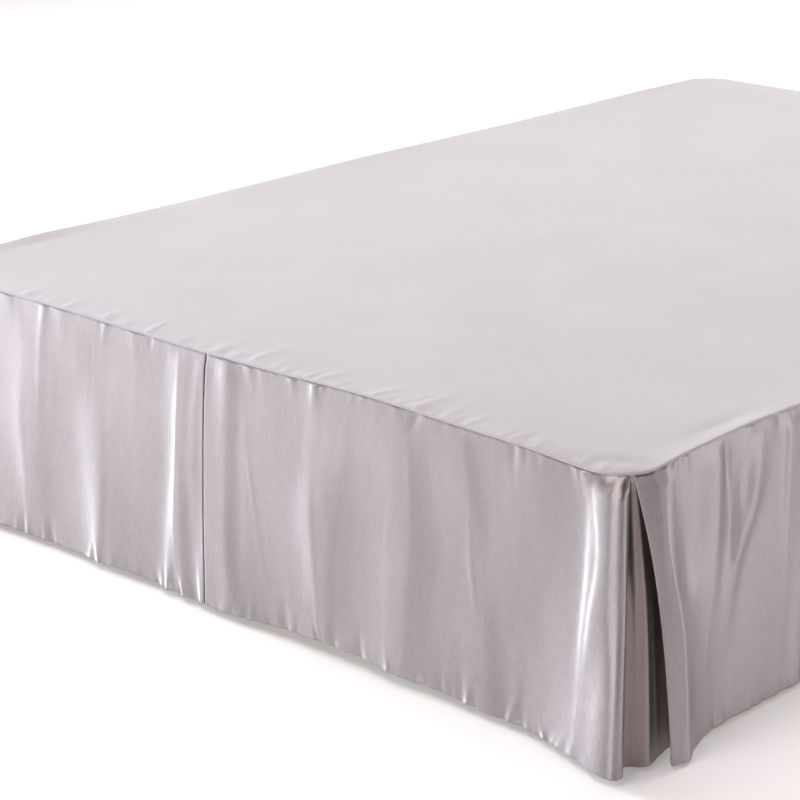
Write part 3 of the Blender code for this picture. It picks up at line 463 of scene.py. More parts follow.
@dataclass(frozen=True)
class SkirtShape:
    """The surface that the skirt hangs in: a seam round three sides, and what falls from it."""

    width: float
    length: float
    offset_y: float
    corner_radius: float = 0.065
    deck_top: float = 0.387
    roll_radius: float = 0.0025
    seam_gap: float = 0.0007
    side_seam_rise: float = 0.0055
    foot_seam_fall: float = 0.0035
    foot_hem: float = 0.011
    side_hem: float = 0.005
    hem_flare: float = 0.009
    corner_flare: float = 0.033
    corner_flare_width: float = 0.090
    corner_flare_power: float = 1.2
    fold_ease: float = 0.07
    pleat_calm: float = 0.034
    foot_pleat_at: float = 0.742
    side_pleat_at: float = 1.030
    pleat_bow: float = 0.006
    pleat_bow_width: float = 0.090
    left_fold_shift: float = 0.018

    @classmethod
    def from_frame(cls) -> "SkirtShape":
        """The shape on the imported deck's own size and place."""
        low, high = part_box("deck")
        return cls(high.x - low.x, high.y - low.y, (low.y + high.y) / 2)

    @property
    def drop(self) -> float:
        """Height of the cloth from seam to hem on the foot, near enough for the spacing of its rows."""
        return self.deck_top - self.roll_radius - self.foot_hem

    @property
    def corner_arc(self) -> float:
        """Length of the seam round one corner."""
        return 0.5 * math.pi * self.corner_radius

    @property
    def straight_foot(self) -> float:
        """Length of the seam along the foot, between its corners."""
        return self.width - 2 * self.corner_radius

    @property
    def straight_side(self) -> float:
        """Length of the seam along a long side, between its corners."""
        return self.length - 2 * self.corner_radius

    @property
    def left_corner(self) -> float:
        """Place along the seam of the middle of the left foot corner."""
        return self.straight_side + 1.5 * self.corner_arc

    @property
    def right_corner(self) -> float:
        """Place along the seam of the middle of the right foot corner."""
        return self.left_corner + self.corner_arc + self.straight_foot

    @property
    def seam_length(self) -> float:
        """Length of the seam from the head of the left side to the head of the right side."""
        return self.right_corner + self.straight_side + 1.5 * self.corner_arc

    @property
    def bend_taken(self) -> float:
        """How much nearer a corner's middle is along the bend than by its sharp corner."""
        return self.corner_radius - 0.5 * self.corner_arc

    @property
    def pleats(self) -> Triple:
        """Places along the seam of the left, foot and right pleat."""
        return (
            self.place(Side.LEFT, self.side_pleat_at),
            self.place(Side.FOOT, self.foot_pleat_at),
            self.place(Side.RIGHT, self.side_pleat_at),
        )

    def place(self, side: Side, distance: float) -> float:
        """Turn a distance from the sharp foot corner into a place along the seam.

        Args:
            side: The side that it lies on. The foot is measured from its right corner.
            distance: Metres from the sharp corner.

        Returns:
            The place along the seam.
        """
        if side is Side.FOOT:
            return self.right_corner - (distance - self.bend_taken)
        if side is Side.RIGHT:
            return self.right_corner + (distance - self.bend_taken)
        return self.left_corner - (distance - self.bend_taken)

    def seam(self, along: Array) -> tuple[Array, Array]:
        """Follow the seam round from the head end of the left side.

        Args:
            along: Places along the seam.

        Returns:
            Plan points and outward directions, each with a last axis of two.
        """
        inner_x = self.width / 2 - self.corner_radius
        inner_y = self.length / 2 - self.corner_radius
        centres = ((-inner_x, inner_y), (-inner_x, -inner_y), (inner_x, -inner_y), (inner_x, inner_y))
        straights = (self.straight_side, self.straight_foot, self.straight_side, self.straight_foot)
        points = np.zeros(along.shape + (2,))
        outwards = np.zeros(along.shape + (2,))
        start = 0.0
        for corner, (centre, straight) in enumerate(zip(centres, straights)):
            local = along - start
            turned = 0.5 * math.pi * (corner + 1) + np.clip(local, 0, self.corner_arc) / self.corner_radius
            outward = np.stack([np.cos(turned), np.sin(turned)], axis=-1)
            ahead = np.clip(local - self.corner_arc, 0, None)[..., None]
            tangent = np.stack([-outward[..., 1], outward[..., 0]], axis=-1)
            point = np.array(centre) + outward * self.corner_radius + tangent * ahead
            reached = (local >= 0)[..., None]
            points = np.where(reached, point, points)
            outwards = np.where(reached, outward, outwards)
            start += self.corner_arc + straight
        return points + np.array([0.0, self.offset_y]), outwards

    def on_foot(self, along: Array) -> Array:
        """1 on the foot, 0 on the long sides, with a soft change round the corners."""
        reach = 2 * self.corner_radius
        past_left = smooth((along - self.left_corner) / reach + 0.5)
        return past_left * smooth((self.right_corner - along) / reach + 0.5)

    def waved(self, along: Array, foot: tuple[Wave, ...], long_side: tuple[Wave, ...]) -> Array:
        """How far the waves of the seam or the hem rise.

        Args:
            along: Places along the seam.
            foot: The waves of the foot.
            long_side: The waves of each long side.

        Returns:
            Metres upward.
        """
        rise = np.zeros(along.shape)
        for side, waves in ((Side.FOOT, foot), (Side.RIGHT, long_side), (Side.LEFT, long_side)):
            for wave in waves:
                rise = rise + wave.rise * bump(along - self.place(side, wave.at), wave.width)
        return rise

    def seam_height(self, along: Array) -> Array:
        """Height of the seam between the deck and a drop."""
        foot = self.on_foot(along)
        rise = self.side_seam_rise * (1 - foot) - self.foot_seam_fall * foot
        return self.deck_top - self.roll_radius + rise + self.waved(along, FOOT_SEAM_WAVES, LONG_SEAM_WAVES)

    def hem_height(self, along: Array) -> Array:
        """Height of the hem above the floor."""
        foot = self.on_foot(along)
        height = self.foot_hem * foot + self.side_hem * (1 - foot)
        return height + self.waved(along, FOOT_HEM_WAVES, LONG_HEM_WAVES)

    def flare(self, along: Array, down: Array, corner_width: float = 0.0, foot_shift: float = 0.0) -> Array:
        """How far the cloth slopes out from the seam line.

        Args:
            along: Places along the seam.
            down: Shares of the drop, 0 at the seam and 1 at the hem.
            corner_width: Half width of the flare at a foot corner, or 0 for the drops' own.
            foot_shift: How far the flare's peak lies from the corner towards the foot.

        Returns:
            Metres outward.
        """
        width = corner_width or self.corner_flare_width
        out = self.hem_flare * down * down
        for peak in (self.left_corner + foot_shift, self.right_corner - foot_shift):
            fallen = np.clip(down, 0, None) ** self.corner_flare_power
            out = out + self.corner_flare * fallen * bump(along - peak, width)
        return out

    def raised(
        self, along: Array, down: Array, foot: tuple[Fold, ...], long_side: tuple[Fold, ...]
    ) -> Array:
        """How far a set of folds stands out, before it is eased by the seam and the pleats.

        Args:
            along: Places along the seam.
            down: Shares of the drop, 0 at the seam and 1 at the hem.
            foot: The folds of the foot.
            long_side: The folds of each long side.

        Returns:
            Metres outward.
        """
        out = np.zeros(np.broadcast(along, down).shape)
        tables = (
            (Side.FOOT, foot, 0.0),
            (Side.RIGHT, long_side, 0.0),
            (Side.LEFT, long_side, self.left_fold_shift),
        )
        for side, folds, later in tables:
            for fold in folds:
                crest = self.place(side, through(fold.places, down) + later)
                out = out + fold.height(along - crest, down)
        return out

    def folded(self, along: Array, down: Array) -> Array:
        """How far the main folds stand out, with none that falls in beside a closed pleat."""
        out = self.raised(along, down, FOOT_FOLDS, LONG_SIDE_FOLDS)
        for pleat in self.pleats:
            out = np.where(out < 0, out * (1 - bump(along - pleat, self.pleat_calm)), out)
        return out * smooth(down / self.fold_ease)

    def creased(self, along: Array, down: Array) -> Array:
        """How far the fine creases stand out."""
        return self.raised(along, down, FINE_FOOT_FOLDS, FINE_SIDE_FOLDS) * smooth(down / self.fold_ease)

    def placed(self, side: Side, puckers: tuple[Pucker, ...]) -> tuple[Pucker, ...]:
        """Turn puckers measured from the sharp foot corner into puckers along the seam.

        Args:
            side: The side that they lie on. On the left side they run the other way.
            puckers: The puckers.

        Returns:
            The puckers, each with its place along the seam.
        """
        turn = -1.0 if side is Side.LEFT else 1.0
        return tuple(
            Pucker(self.place(side, item.at), item.width, item.length, item.depth, turn * item.lean)
            for item in puckers
        )

    def sway(self, along: Array, down: Array) -> Array:
        """How far the cloth beside the foot pleat leans to the left, most half way down."""
        pleat = self.place(Side.FOOT, self.foot_pleat_at)
        return -self.pleat_bow * 4 * down * (1 - down) * bump(along - pleat, self.pleat_bow_width)

    def point(self, along: Array, down: Array, out: Array) -> Array:
        """Points of hanging cloth that stand out from the seam line.

        Args:
            along: Places along the seam.
            down: Shares of the drop, 0 at the seam and 1 at the hem.
            out: Metres outward from the seam line.

        Returns:
            Points in the row frame, with a last axis of three.
        """
        plan, outward = self.seam(along)
        plan = plan + outward * out[..., None]
        top = self.seam_height(along) - self.seam_gap
        height = top + (self.hem_height(along) - top) * down
        return np.concatenate([plan, height[..., None]], axis=-1)


@dataclass(frozen=True)
class Gathers:
    """How a seam or hem puckers: a loose row of short wrinkles of varied size."""

    spacing: float
    width: Pair
    length: Pair
    depth: Pair
    lean: float

    def row(self, start: float, end: float, seed: int) -> tuple[Pucker, ...]:
        """Scatter puckers along a line.

        Args:
            start: Where the line starts.
            end: Where it ends.
            seed: Seed of the scatter, one for each line.

        Returns:
            The puckers, in order along the line.
        """
        draw = np.random.default_rng(seed)
        count = max(1, round((end - start) / self.spacing))
        places = start + (np.arange(count) + draw.uniform(0.1, 0.9, count)) * (end - start) / count
        sign = draw.choice((-1.0, 1.0), count)
        columns = (
            places,
            draw.uniform(*self.width, count),
            draw.uniform(*self.length, count),
            draw.uniform(*self.depth, count) * sign,
            draw.uniform(-self.lean, self.lean, count),
        )
        return tuple(Pucker(*(float(value) for value in row)) for row in zip(*columns))


@dataclass(frozen=True)
class Ripples:
    """The faint upright waver of hanging satin, too small to be folds.

    There is a wave of each width. Its crests sway on their way down and wander along the cloth, and
    it is stronger in some places than in others.
    """

    widths: Triple = (0.0120, 0.0230, 0.0410)
    slope: float = 0.011
    sway: float = 1.5
    sway_height: float = 0.170
    sway_turn: float = 9.0
    wander: float = 1.6
    wander_widths: float = 7.3
    strength: float = 0.6
    strength_change: float = 0.4
    strength_widths: float = 4.1
    strength_fall: float = 11.0
    seed_step: int = 500

    def height(self, along: Array, below: Array, seed: int) -> Array:
        """How far the waver stands out.

        Args:
            along: Places along the seam.
            below: Metres below the seam.
            seed: Seed of the phases, one for each piece.

        Returns:
            Metres outward at each place.
        """
        draw = np.random.default_rng(seed + self.seed_step)
        full = 2 * math.pi
        out = np.zeros(np.broadcast(along, below).shape)
        for width in self.widths:
            phase, leaning, drift, beat = draw.uniform(0, full, 4)
            wander = self.sway * np.sin(full * below / self.sway_height + leaning + self.sway_turn * along)
            wander = wander + self.wander * np.sin(full * along / (self.wander_widths * width) + drift)
            pulse = full * along / (self.strength_widths * width) + beat - self.strength_fall * below
            strength = self.strength + self.strength_change * np.sin(pulse)
            wave = np.sin(full * along / width + phase + wander)
            out = out + strength * wave * self.slope * width / full
        return out


def puckered(puckers: tuple[Pucker, ...], along: Array, away: Array) -> Array:
    """Depth of a row of puckers.

    Args:
        puckers: The row.
        along: Places along the line that they start at.
        away: Metres from that line.

    Returns:
        Metres outward at each place.
    """
    out = np.zeros(np.broadcast(along, away).shape)
    for pucker in puckers:
        fade = np.clip(1 - away / pucker.length, 0, 1) ** 2
        out = out + pucker.depth * fade * bump(along - pucker.at - pucker.lean * away, pucker.width)
    return out


def new_piece(name: str, vertices: list[list[float]], faces: list[tuple[int, ...]]) -> Piece:
    """Make a smooth mesh object and put it in the scene.

    Args:
        name: The piece's name.
        vertices: Its points in the row frame.
        faces: The points of each face.

    Returns:
        The object.
    """
    mesh = bpy.data.meshes.new(name)
    mesh.from_pydata(vertices, [], faces)
    mesh.shade_smooth()
    piece = bpy.data.objects.new(name, mesh)
    bpy.context.scene.collection.objects.link(piece)
    return piece


def cloth_mesh(name: str, points: Array, flat: Array) -> Piece:
    """Make one sheet of cloth from a grid of points.

    Args:
        name: The piece's name.
        points: Rows by columns by three, in the row frame.
        flat: Rows by columns by two, each point's place on the flat cloth in metres.

    Returns:
        The object, smooth, with the flat places as its texture coordinates.
    """
    rows, columns = points.shape[:2]
    corner = (np.arange(rows - 1)[:, None] * columns + np.arange(columns - 1)[None, :]).ravel()
    quads = np.stack([corner, corner + columns, corner + columns + 1, corner + 1], axis=-1)
    piece = new_piece(name, points.reshape(-1, 3).tolist(), quads.tolist())
    layer = piece.data.uv_layers.new(name="cloth")
    layer.data.foreach_set("uv", flat.reshape(-1, 2)[quads.ravel()].astype(np.float32).ravel())
    return piece


def dress(piece: Piece, material: bpy.types.Material) -> None:
    """Give a piece its finish and its material slot, let it ride on the bed, and report it.

    Args:
        piece: The piece.
        material: Its finish.
    """
    piece.data.materials.clear()
    piece.data.materials.append(material)
    if piece.parent is None:
        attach(piece, BODY)
    log.info("%s: %d faces in %s", piece.name, len(piece.data.polygons), material.name)


class NodeBoard:
    """A material's nodes, with short ways to add and join them."""

    def __init__(self, name: str) -> None:
        """Start a material with a bare Principled shader."""
        self.material = bpy.data.materials.new(name)
        self.material.use_nodes = True
        self.nodes = self.material.node_tree.nodes
        self.links = self.material.node_tree.links
        self.shader = self.nodes["Principled BSDF"]

    def add(self, kind: str, **settings: object) -> bpy.types.Node:
        """Add a node.

        Args:
            kind: Its type, such as "ShaderNodeBump".
            settings: Properties to set on it.

        Returns:
            The node.
        """
        node = self.nodes.new(kind)
        for key, value in settings.items():
            setattr(node, key, value)
        return node

    def join(self, source: Socket, target: Socket) -> None:
        """Join two sockets."""
        self.links.new(source, target)

    def cloth_place(self, scale: Pair) -> Socket:
        """The place on the flat cloth, in metres times a scale for each direction."""
        place = self.add("ShaderNodeUVMap", uv_map="cloth")
        mapping = self.add("ShaderNodeMapping")
        mapping.inputs["Scale"].default_value = (*scale, 1.0)
        self.join(place.outputs["UV"], mapping.inputs["Vector"])
        return mapping.outputs["Vector"]

    def object_place(self, scale: Triple) -> Socket:
        """The place in the row frame, in metres times a scale for each direction."""
        place = self.add("ShaderNodeTexCoord")
        mapping = self.add("ShaderNodeMapping")
        mapping.inputs["Scale"].default_value = scale
        self.join(place.outputs["Object"], mapping.inputs["Vector"])
        return mapping.outputs["Vector"]

    def noise(self, place: Socket, detail: float = 2.0, roughness: float = 0.5) -> Socket:
        """Noise at a place.

        Args:
            place: Where the noise is read, already scaled.
            detail: How many finer layers it has.
            roughness: How strong the finer layers are.

        Returns:
            A value about 0.5.
        """
        node = self.add("ShaderNodeTexNoise")
        node.inputs["Scale"].default_value = 1.0
        node.inputs["Detail"].default_value = detail
        node.inputs["Roughness"].default_value = roughness
        self.join(place, node.inputs["Vector"])
        return node.outputs["Fac"]

    def remap(self, value: Socket, low: float, high: float, spread: float = 0.25) -> Socket:
        """Stretch noise about 0.5 to a range.

        Args:
            value: The noise.
            low: What the lower end turns into.
            high: What the upper end turns into.
            spread: How far the ends lie from 0.5.

        Returns:
            The stretched value.
        """
        node = self.add("ShaderNodeMapRange")
        node.inputs["From Min"].default_value = 0.5 - spread
        node.inputs["From Max"].default_value = 0.5 + spread
        node.inputs["To Min"].default_value = low
        node.inputs["To Max"].default_value = high
        self.join(value, node.inputs["Value"])
        return node.outputs["Result"]

    def blend(self, share: Socket, first: Triple, second: Triple) -> Socket:
        """A colour between two.

        Args:
            share: 0 for the first colour and 1 for the second.
            first: The first colour, linear.
            second: The second colour, linear.

        Returns:
            The blended colour.
        """
        node = self.add("ShaderNodeMix", data_type="RGBA")
        colours = [socket for socket in node.inputs if socket.type == "RGBA"]
        colours[0].default_value = (*first, 1.0)
        colours[1].default_value = (*second, 1.0)
        self.join(share, node.inputs["Factor"])
        return next(socket for socket in node.outputs if socket.type == "RGBA")

    def sum(self, first: Socket, second: Socket, weight: float) -> Socket:
        """Add a weighted second noise to a first one.

        Args:
            first: The first noise.
            second: The second noise.
            weight: How much of the second is added.

        Returns:
            The sum, which stays about 0.5.
        """
        node = self.add("ShaderNodeMath", operation="MULTIPLY_ADD")
        node.inputs[1].default_value = weight
        self.join(second, node.inputs[0])
        self.join(first, node.inputs[2])
        centred = self.add("ShaderNodeMath", operation="SUBTRACT")
        centred.inputs[1].default_value = 0.5 * weight
        self.join(node.outputs["Value"], centred.inputs[0])
        return centred.outputs["Value"]

    def bump(self, height: Socket, strength: float, distance: float) -> None:
        """Raise the surface by a height.

        Args:
            height: The height, from 0 to 1.
            strength: How strongly it shows.
            distance: The real height of 1, in metres.
        """
        node = self.add("ShaderNodeBump")
        node.inputs["Strength"].default_value = strength
        node.inputs["Distance"].default_value = distance
        self.join(height, node.inputs["Height"])
        self.join(node.outputs["Normal"], self.shader.inputs["Normal"])

    def tint(self, tone: Socket, spread: float, dark: Triple, light: Triple) -> None:
        """Colour the surface between two colours.

        Args:
            tone: A value about 0.5.
            spread: How far from 0.5 the two colours are reached.
            dark: The darker colour, linear.
            light: The lighter colour, linear.
        """
        colour = self.blend(self.remap(tone, 0.0, 1.0, spread), dark, light)
        self.join(colour, self.shader.inputs["Base Color"])

    def roughen(self, value: Socket, middle: float, change: float) -> None:
        """Let the roughness vary about its middle by a value about 0.5."""
        self.join(self.remap(value, middle - change, middle + change), self.shader.inputs["Roughness"])

    def fix(self, values: dict[str, float | tuple[float, ...]]) -> None:
        """Set the shader's sockets that are the same all over the surface."""
        for socket, value in values.items():
            self.shader.inputs[socket].default_value = value


@dataclass(frozen=True)
class Satin:
    """Silver satin: a soft sheen that runs down the cloth, and a fine upright grain."""

    name: str = "silver_satin_finish"
    light: Triple = (0.486, 0.440, 0.456)
    dark: Triple = (0.352, 0.312, 0.321)
    tone_spread: float = 0.32
    roughness: float = 0.42
    roughness_change: float = 0.07
    metallic: float = 0.85
    anisotropy: float = 0.85
    sheen_turn: float = 0.25
    sheen: float = 0.10
    grain_scale: Pair = (480.0, 60.0)
    cross_scale: Pair = (90.0, 900.0)
    patch_scale: Pair = (9.0, 4.0)
    grain_height: float = 0.00022

    def material(self) -> bpy.types.Material:
        """Make the finish."""
        board = NodeBoard(self.name)
        grain = board.noise(board.cloth_place(self.grain_scale), 3.0, 0.6)
        cross = board.noise(board.cloth_place(self.cross_scale))
        patch = board.noise(board.cloth_place(self.patch_scale), 3.0)
        threads = board.sum(grain, cross, 0.4)
        tone = board.sum(board.sum(grain, patch, 0.8), cross, 0.3)
        board.tint(tone, self.tone_spread, self.dark, self.light)
        board.roughen(threads, self.roughness, self.roughness_change)
        board.fix({"Metallic": self.metallic, "Sheen Weight": self.sheen})
        board.fix({"Anisotropic": self.anisotropy, "Anisotropic Rotation": self.sheen_turn})
        tangent = board.add("ShaderNodeTangent", direction_type="UV_MAP", uv_map="cloth")
        board.join(tangent.outputs["Tangent"], board.shader.inputs["Tangent"])
        board.bump(threads, 0.5, self.grain_height)
        return board.material


# A darker, browner copy of the drops' satin for the pleat underlays and corner insets: painted shade for
# the shadow that falls inside the pleats and split corners.
SHADED_SATIN = Satin("shaded_satin_finish", (0.400, 0.338, 0.330), (0.290, 0.238, 0.228))


@dataclass(frozen=True)
class DeckCloth:
    """Matte plain weave, pale pink-grey, with faint slubs along and across."""

    light: Triple = (0.550, 0.524, 0.546)
    dark: Triple = (0.480, 0.455, 0.476)
    tone_spread: float = 0.35
    roughness: float = 0.82
    sheen: float = 0.15
    slub_scale: Pair = (1400.0, 30.0)
    patch_scale: Pair = (5.0, 5.0)
    slub_height: float = 0.00010

    def material(self) -> bpy.types.Material:
        """Make the finish."""
        board = NodeBoard("deck_cloth_finish")
        warp = board.noise(board.cloth_place(self.slub_scale))
        weft = board.noise(board.cloth_place(self.slub_scale[::-1]))
        patch = board.noise(board.cloth_place(self.patch_scale), 3.0)
        threads = board.sum(warp, weft, 1.0)
        board.tint(board.sum(threads, patch, 0.8), self.tone_spread, self.dark, self.light)
        board.fix({"Roughness": self.roughness, "Sheen Weight": self.sheen})
        board.bump(threads, 0.5, self.slub_height)
        return board.material


@dataclass(frozen=True)
class Ticking:
    """Plain cotton cover of the base, with an upright weave."""

    light: Triple = (0.72, 0.69, 0.64)
    dark: Triple = (0.60, 0.57, 0.52)
    tone_spread: float = 0.7
    roughness: float = 0.9
    upright_scale: Triple = (700.0, 700.0, 20.0)
    level_scale: Triple = (20.0, 20.0, 700.0)
    weave_height: float = 0.0002

    def material(self) -> bpy.types.Material:
        """Make the finish."""
        board = NodeBoard("ticking_finish")
        upright = board.noise(board.object_place(self.upright_scale))
        level = board.noise(board.object_place(self.level_scale))
        threads = board.sum(upright, level, 1.0)
        board.tint(threads, self.tone_spread, self.dark, self.light)
        board.fix({"Roughness": self.roughness})
        board.bump(threads, 0.6, self.weave_height)
        return board.material


@dataclass(frozen=True)
class Timber:
    """Planed softwood, lightly oiled."""

    light: Triple = (0.52, 0.35, 0.20)
    dark: Triple = (0.36, 0.22, 0.11)
    tone_spread: float = 0.4
    roughness: float = 0.5
    roughness_change: float = 0.08
    ring_scale: Triple = (9.0, 9.0, 60.0)
    pore_scale: Triple = (60.0, 60.0, 500.0)
    grain_height: float = 0.0004

    def material(self) -> bpy.types.Material:
        """Make the finish."""
        board = NodeBoard("timber_finish")
        rings = board.noise(board.object_place(self.ring_scale), 4.0)
        pores = board.noise(board.object_place(self.pore_scale))
        grain = board.sum(rings, pores, 0.3)
        board.tint(grain, self.tone_spread, self.dark, self.light)
        board.roughen(grain, self.roughness, self.roughness_change)
        board.bump(grain, 0.3, self.grain_height)
        return board.material


@dataclass(frozen=True)
class Thread:
    """Polyester sewing thread in the satin's own colour."""

    light: Triple = (0.42, 0.38, 0.38)
    dark: Triple = (0.315, 0.285, 0.285)
    tone_spread: float = 0.25
    roughness: float = 0.5
    twist_scale: Triple = (2500.0, 2500.0, 2500.0)

    def material(self) -> bpy.types.Material:
        """Make the finish."""
        board = NodeBoard("thread_finish")
        twist = board.noise(board.object_place(self.twist_scale), 1.0)
        board.tint(twist, self.tone_spread, self.dark, self.light)
        board.fix({"Roughness": self.roughness})
        return board.material


@dataclass(frozen=True)
class ClothEdge:
    """Sizes of the turned edges of a sheet."""

    sheet_offset: float = 0.0003
    lip_radius: float = 0.0016
    lip_steps: int = 6
    return_width: float = 0.030
    return_steps: int = 7
    hem_radius: float = 0.0007
    hem_steps: int = 4
    hem_depth: float = 0.012
    inside_steps: int = 4
    seam_tuck: float = 0.0011
    seam_tuck_reach: float = 0.0036

    def lip_columns(self) -> list[Pair]:
        """Places and depths round a folded lip, from the back of the return to the front face."""
        behind = -2 * self.lip_radius
        returned = np.linspace(self.return_width, self.lip_radius, self.return_steps + 1)[:-1]
        turn = [(place, behind) for place in returned]
        for angle in np.linspace(math.pi, 0, self.lip_steps + 1)[:-1]:
            turn.append((self.lip_radius * (1 - math.sin(angle)), self.lip_radius * (math.cos(angle) - 1)))
        return turn

    def hem_rows(self, drop: float) -> list[Pair]:
        """Heights above the hem and depths round the turned hem, from the hem up the inside."""
        turn = []
        for angle in np.linspace(0, math.pi, self.hem_steps + 1)[1:]:
            height = self.hem_radius * (1 - math.sin(angle))
            turn.append((1 - height / drop, self.hem_radius * (math.cos(angle) - 1)))
        for height in np.linspace(self.hem_radius, self.hem_depth, self.inside_steps + 1)[1:]:
            turn.append((1 - height / drop, -2 * self.hem_radius))
        return turn


@dataclass
class HangingDrop:
    """One hanging drop, with the folded lips that it has and a turned hem."""

    name: str
    shape: SkirtShape
    start: float
    end: float
    start_lip: bool
    end_lip: bool
    seed: int
    start_opening: float = 0.0
    end_opening: float = 0.0
    column: float = 0.0022
    row: float = 0.0024
    opening_reach: float = 0.260
    opening_curve: float = 2.8
    near_seam: Five = (0.0, 0.0007, 0.0014, 0.0021, 0.0030)
    firm_reach: float = 0.004
    pucker_margin: float = 0.05
    edge: ClothEdge = ClothEdge()
    seam_gathers: Gathers = Gathers(0.014, (0.0030, 0.0070), (0.006, 0.036), (0.0001, 0.0004), 0.20)
    hem_gathers: Gathers = Gathers(0.012, (0.0030, 0.0060), (0.008, 0.036), (0.0002, 0.0008), 0.30)
    seam_scale: Pair = (1.2, 0.8)
    hem_scale: Pair = (1.3, 0.75)
    ripples: Ripples = Ripples()

    def columns(self) -> Array:
        """Place from the drop's start and depth behind its face, for each column of its mesh."""
        length = self.end - self.start
        radius = self.edge.lip_radius
        first = radius if self.start_lip else 0.0
        last = length - radius if self.end_lip else length
        columns = self.edge.lip_columns() if self.start_lip else []
        columns += [(place, 0.0) for place in even_places(first, last, self.column)]
        if self.end_lip:
            columns += [(length - place, depth) for place, depth in reversed(self.edge.lip_columns())]
        return np.array(columns)

    def rows(self) -> Array:
        """Share of the drop and depth behind its face, for each row of its mesh."""
        drop = self.shape.drop
        shares = np.unique(np.concatenate([self.near_seam, even_places(0.0, drop, self.row)]) / drop)
        return np.array([(share, 0.0) for share in shares] + self.edge.hem_rows(drop))

    def rows_of_puckers(self) -> tuple[tuple[Pucker, ...], tuple[Pucker, ...]]:
        """The puckers at its seam and at its hem: those listed one by one, and small ones between."""
        seam_row = self.seam_gathers.row(self.start, self.end, self.seed)
        hem_row = self.hem_gathers.row(self.start, self.end, self.seed + 1)
        sides = (
            (Side.FOOT, FOOT_SEAM_PUCKERS, FOOT_HEM_PUCKERS),
            (Side.RIGHT, SIDE_SEAM_PUCKERS, SIDE_HEM_PUCKERS),
            (Side.LEFT, SIDE_SEAM_PUCKERS, SIDE_HEM_PUCKERS),
        )
        for side, seam_puckers, hem_puckers in sides:
            seam_row += self.shape.placed(side, scaled(seam_puckers, *self.seam_scale))
            hem_row += self.shape.placed(side, scaled(hem_puckers, *self.hem_scale))
        return self.near(seam_row), self.near(hem_row)

    def near(self, puckers: tuple[Pucker, ...]) -> tuple[Pucker, ...]:
        """The puckers that lie on the drop or just past its ends."""
        first, last = self.start - self.pucker_margin, self.end + self.pucker_margin
        return tuple(pucker for pucker in puckers if first < pucker.at < last)

    def surface(self, place: Array, down: Array, depth: Array) -> Array:
        """Points of the drop.

        Args:
            place: Metres from its start along the seam.
            down: Shares of the drop.
            depth: Metres outward from its face, below 0 behind it.

        Returns:
            Points in the row frame.
        """
        length = self.end - self.start
        near_start = np.clip(1 - place / self.opening_reach, 0, None) ** 2
        near_end = np.clip(1 - (length - place) / self.opening_reach, 0, None) ** 2
        drawn_back = self.start_opening * near_start - self.end_opening * near_end
        along = self.start + place + drawn_back * (1 - np.clip(1 - down, 0, None) ** self.opening_curve)
        shape = self.shape
        out = shape.flare(along, down) + shape.folded(along, down) + shape.creased(along, down) + depth
        below, above = down * shape.drop, (1 - down) * shape.drop
        firm = smooth(below / self.firm_reach)
        seam_row, hem_row = self.rows_of_puckers()
        out = out + firm * puckered(seam_row, self.start + place, below)
        out = out + puckered(hem_row, self.start + place, above)
        out = out + firm * self.ripples.height(self.start + place, below, self.seed)
        out = out - self.edge.seam_tuck * np.clip(1 - below / self.edge.seam_tuck_reach, 0, 1) ** 2
        return shape.point(along + shape.sway(along, down), down, out - self.edge.sheet_offset)

    def build(self) -> Piece:
        """Build the sheet, with its lips and hem."""
        columns, rows = self.columns(), self.rows()
        place, depth_behind = columns[None, :, 0], columns[None, :, 1]
        down, depth_turned = rows[:, None, 0], rows[:, None, 1]
        points = self.surface(*np.broadcast_arrays(place, down, depth_behind + depth_turned))
        return cloth_mesh(self.name, points, self.flat_places(points))

    def flat_places(self, points: Array) -> Array:
        """Each point's place on the flat cloth, measured over its folds and turns."""
        across, upright = run_along(points[0]), run_along(points[:, points.shape[1] // 2])
        return np.stack(np.broadcast_arrays(across[None, :] + self.seed, upright[:, None]), axis=-1)

    def flat_size(self) -> Pair:
        """Width and length that the cloth is cut to, with its returns and its hem."""
        returns = self.edge.return_width * (int(self.start_lip) + int(self.end_lip))
        return self.end - self.start + returns, self.shape.drop + self.edge.hem_depth


@dataclass
class PleatBacking:
    """The strip of satin behind a pleat or a split corner, with a turned hem."""

    name: str
    shape: SkirtShape
    middle: float
    half_width: float
    depth: float
    flare_width: float
    flare_shift: float
    folds: tuple[Fold, ...]
    seed: int
    spacing: float = 0.0026
    fold_room: float = 0.0035
    edge: ClothEdge = ClothEdge()

    def surface(self, place: Array, down: Array, depth: Array) -> Array:
        """Points of the strip.

        Args:
            place: Metres from its middle along the seam.
            down: Shares of the drop.
            depth: Metres outward from its face, below 0 behind it.

        Returns:
            Points in the row frame.
        """
        along = self.middle + place
        falls_back = self.depth + self.fold_room * smooth(down / self.shape.fold_ease)
        out = self.shape.flare(along, down, self.flare_width, self.flare_shift) - falls_back + depth
        for fold in self.folds:
            out = out + fold.height(place - through(fold.places, down), down)
        return self.shape.point(along, down, out)

    def build(self) -> Piece:
        """Build the strip and its hem."""
        drop = self.shape.drop
        columns = even_places(-self.half_width, self.half_width, self.spacing)[None, :]
        face = [(share, 0.0) for share in even_places(0.0, 1.0, self.spacing / drop)]
        rows = np.array(face + self.edge.hem_rows(drop))
        down, turned = rows[:, None, 0], rows[:, None, 1]
        points = self.surface(*np.broadcast_arrays(columns, down, turned))
        flat = np.stack(np.broadcast_arrays(columns + self.seed, down * drop), axis=-1)
        return cloth_mesh(self.name, points, flat)

    def flat_size(self) -> Pair:
        """Width and length that the strip is cut to, with its hem."""
        return 2 * self.half_width, self.shape.drop + self.edge.hem_depth


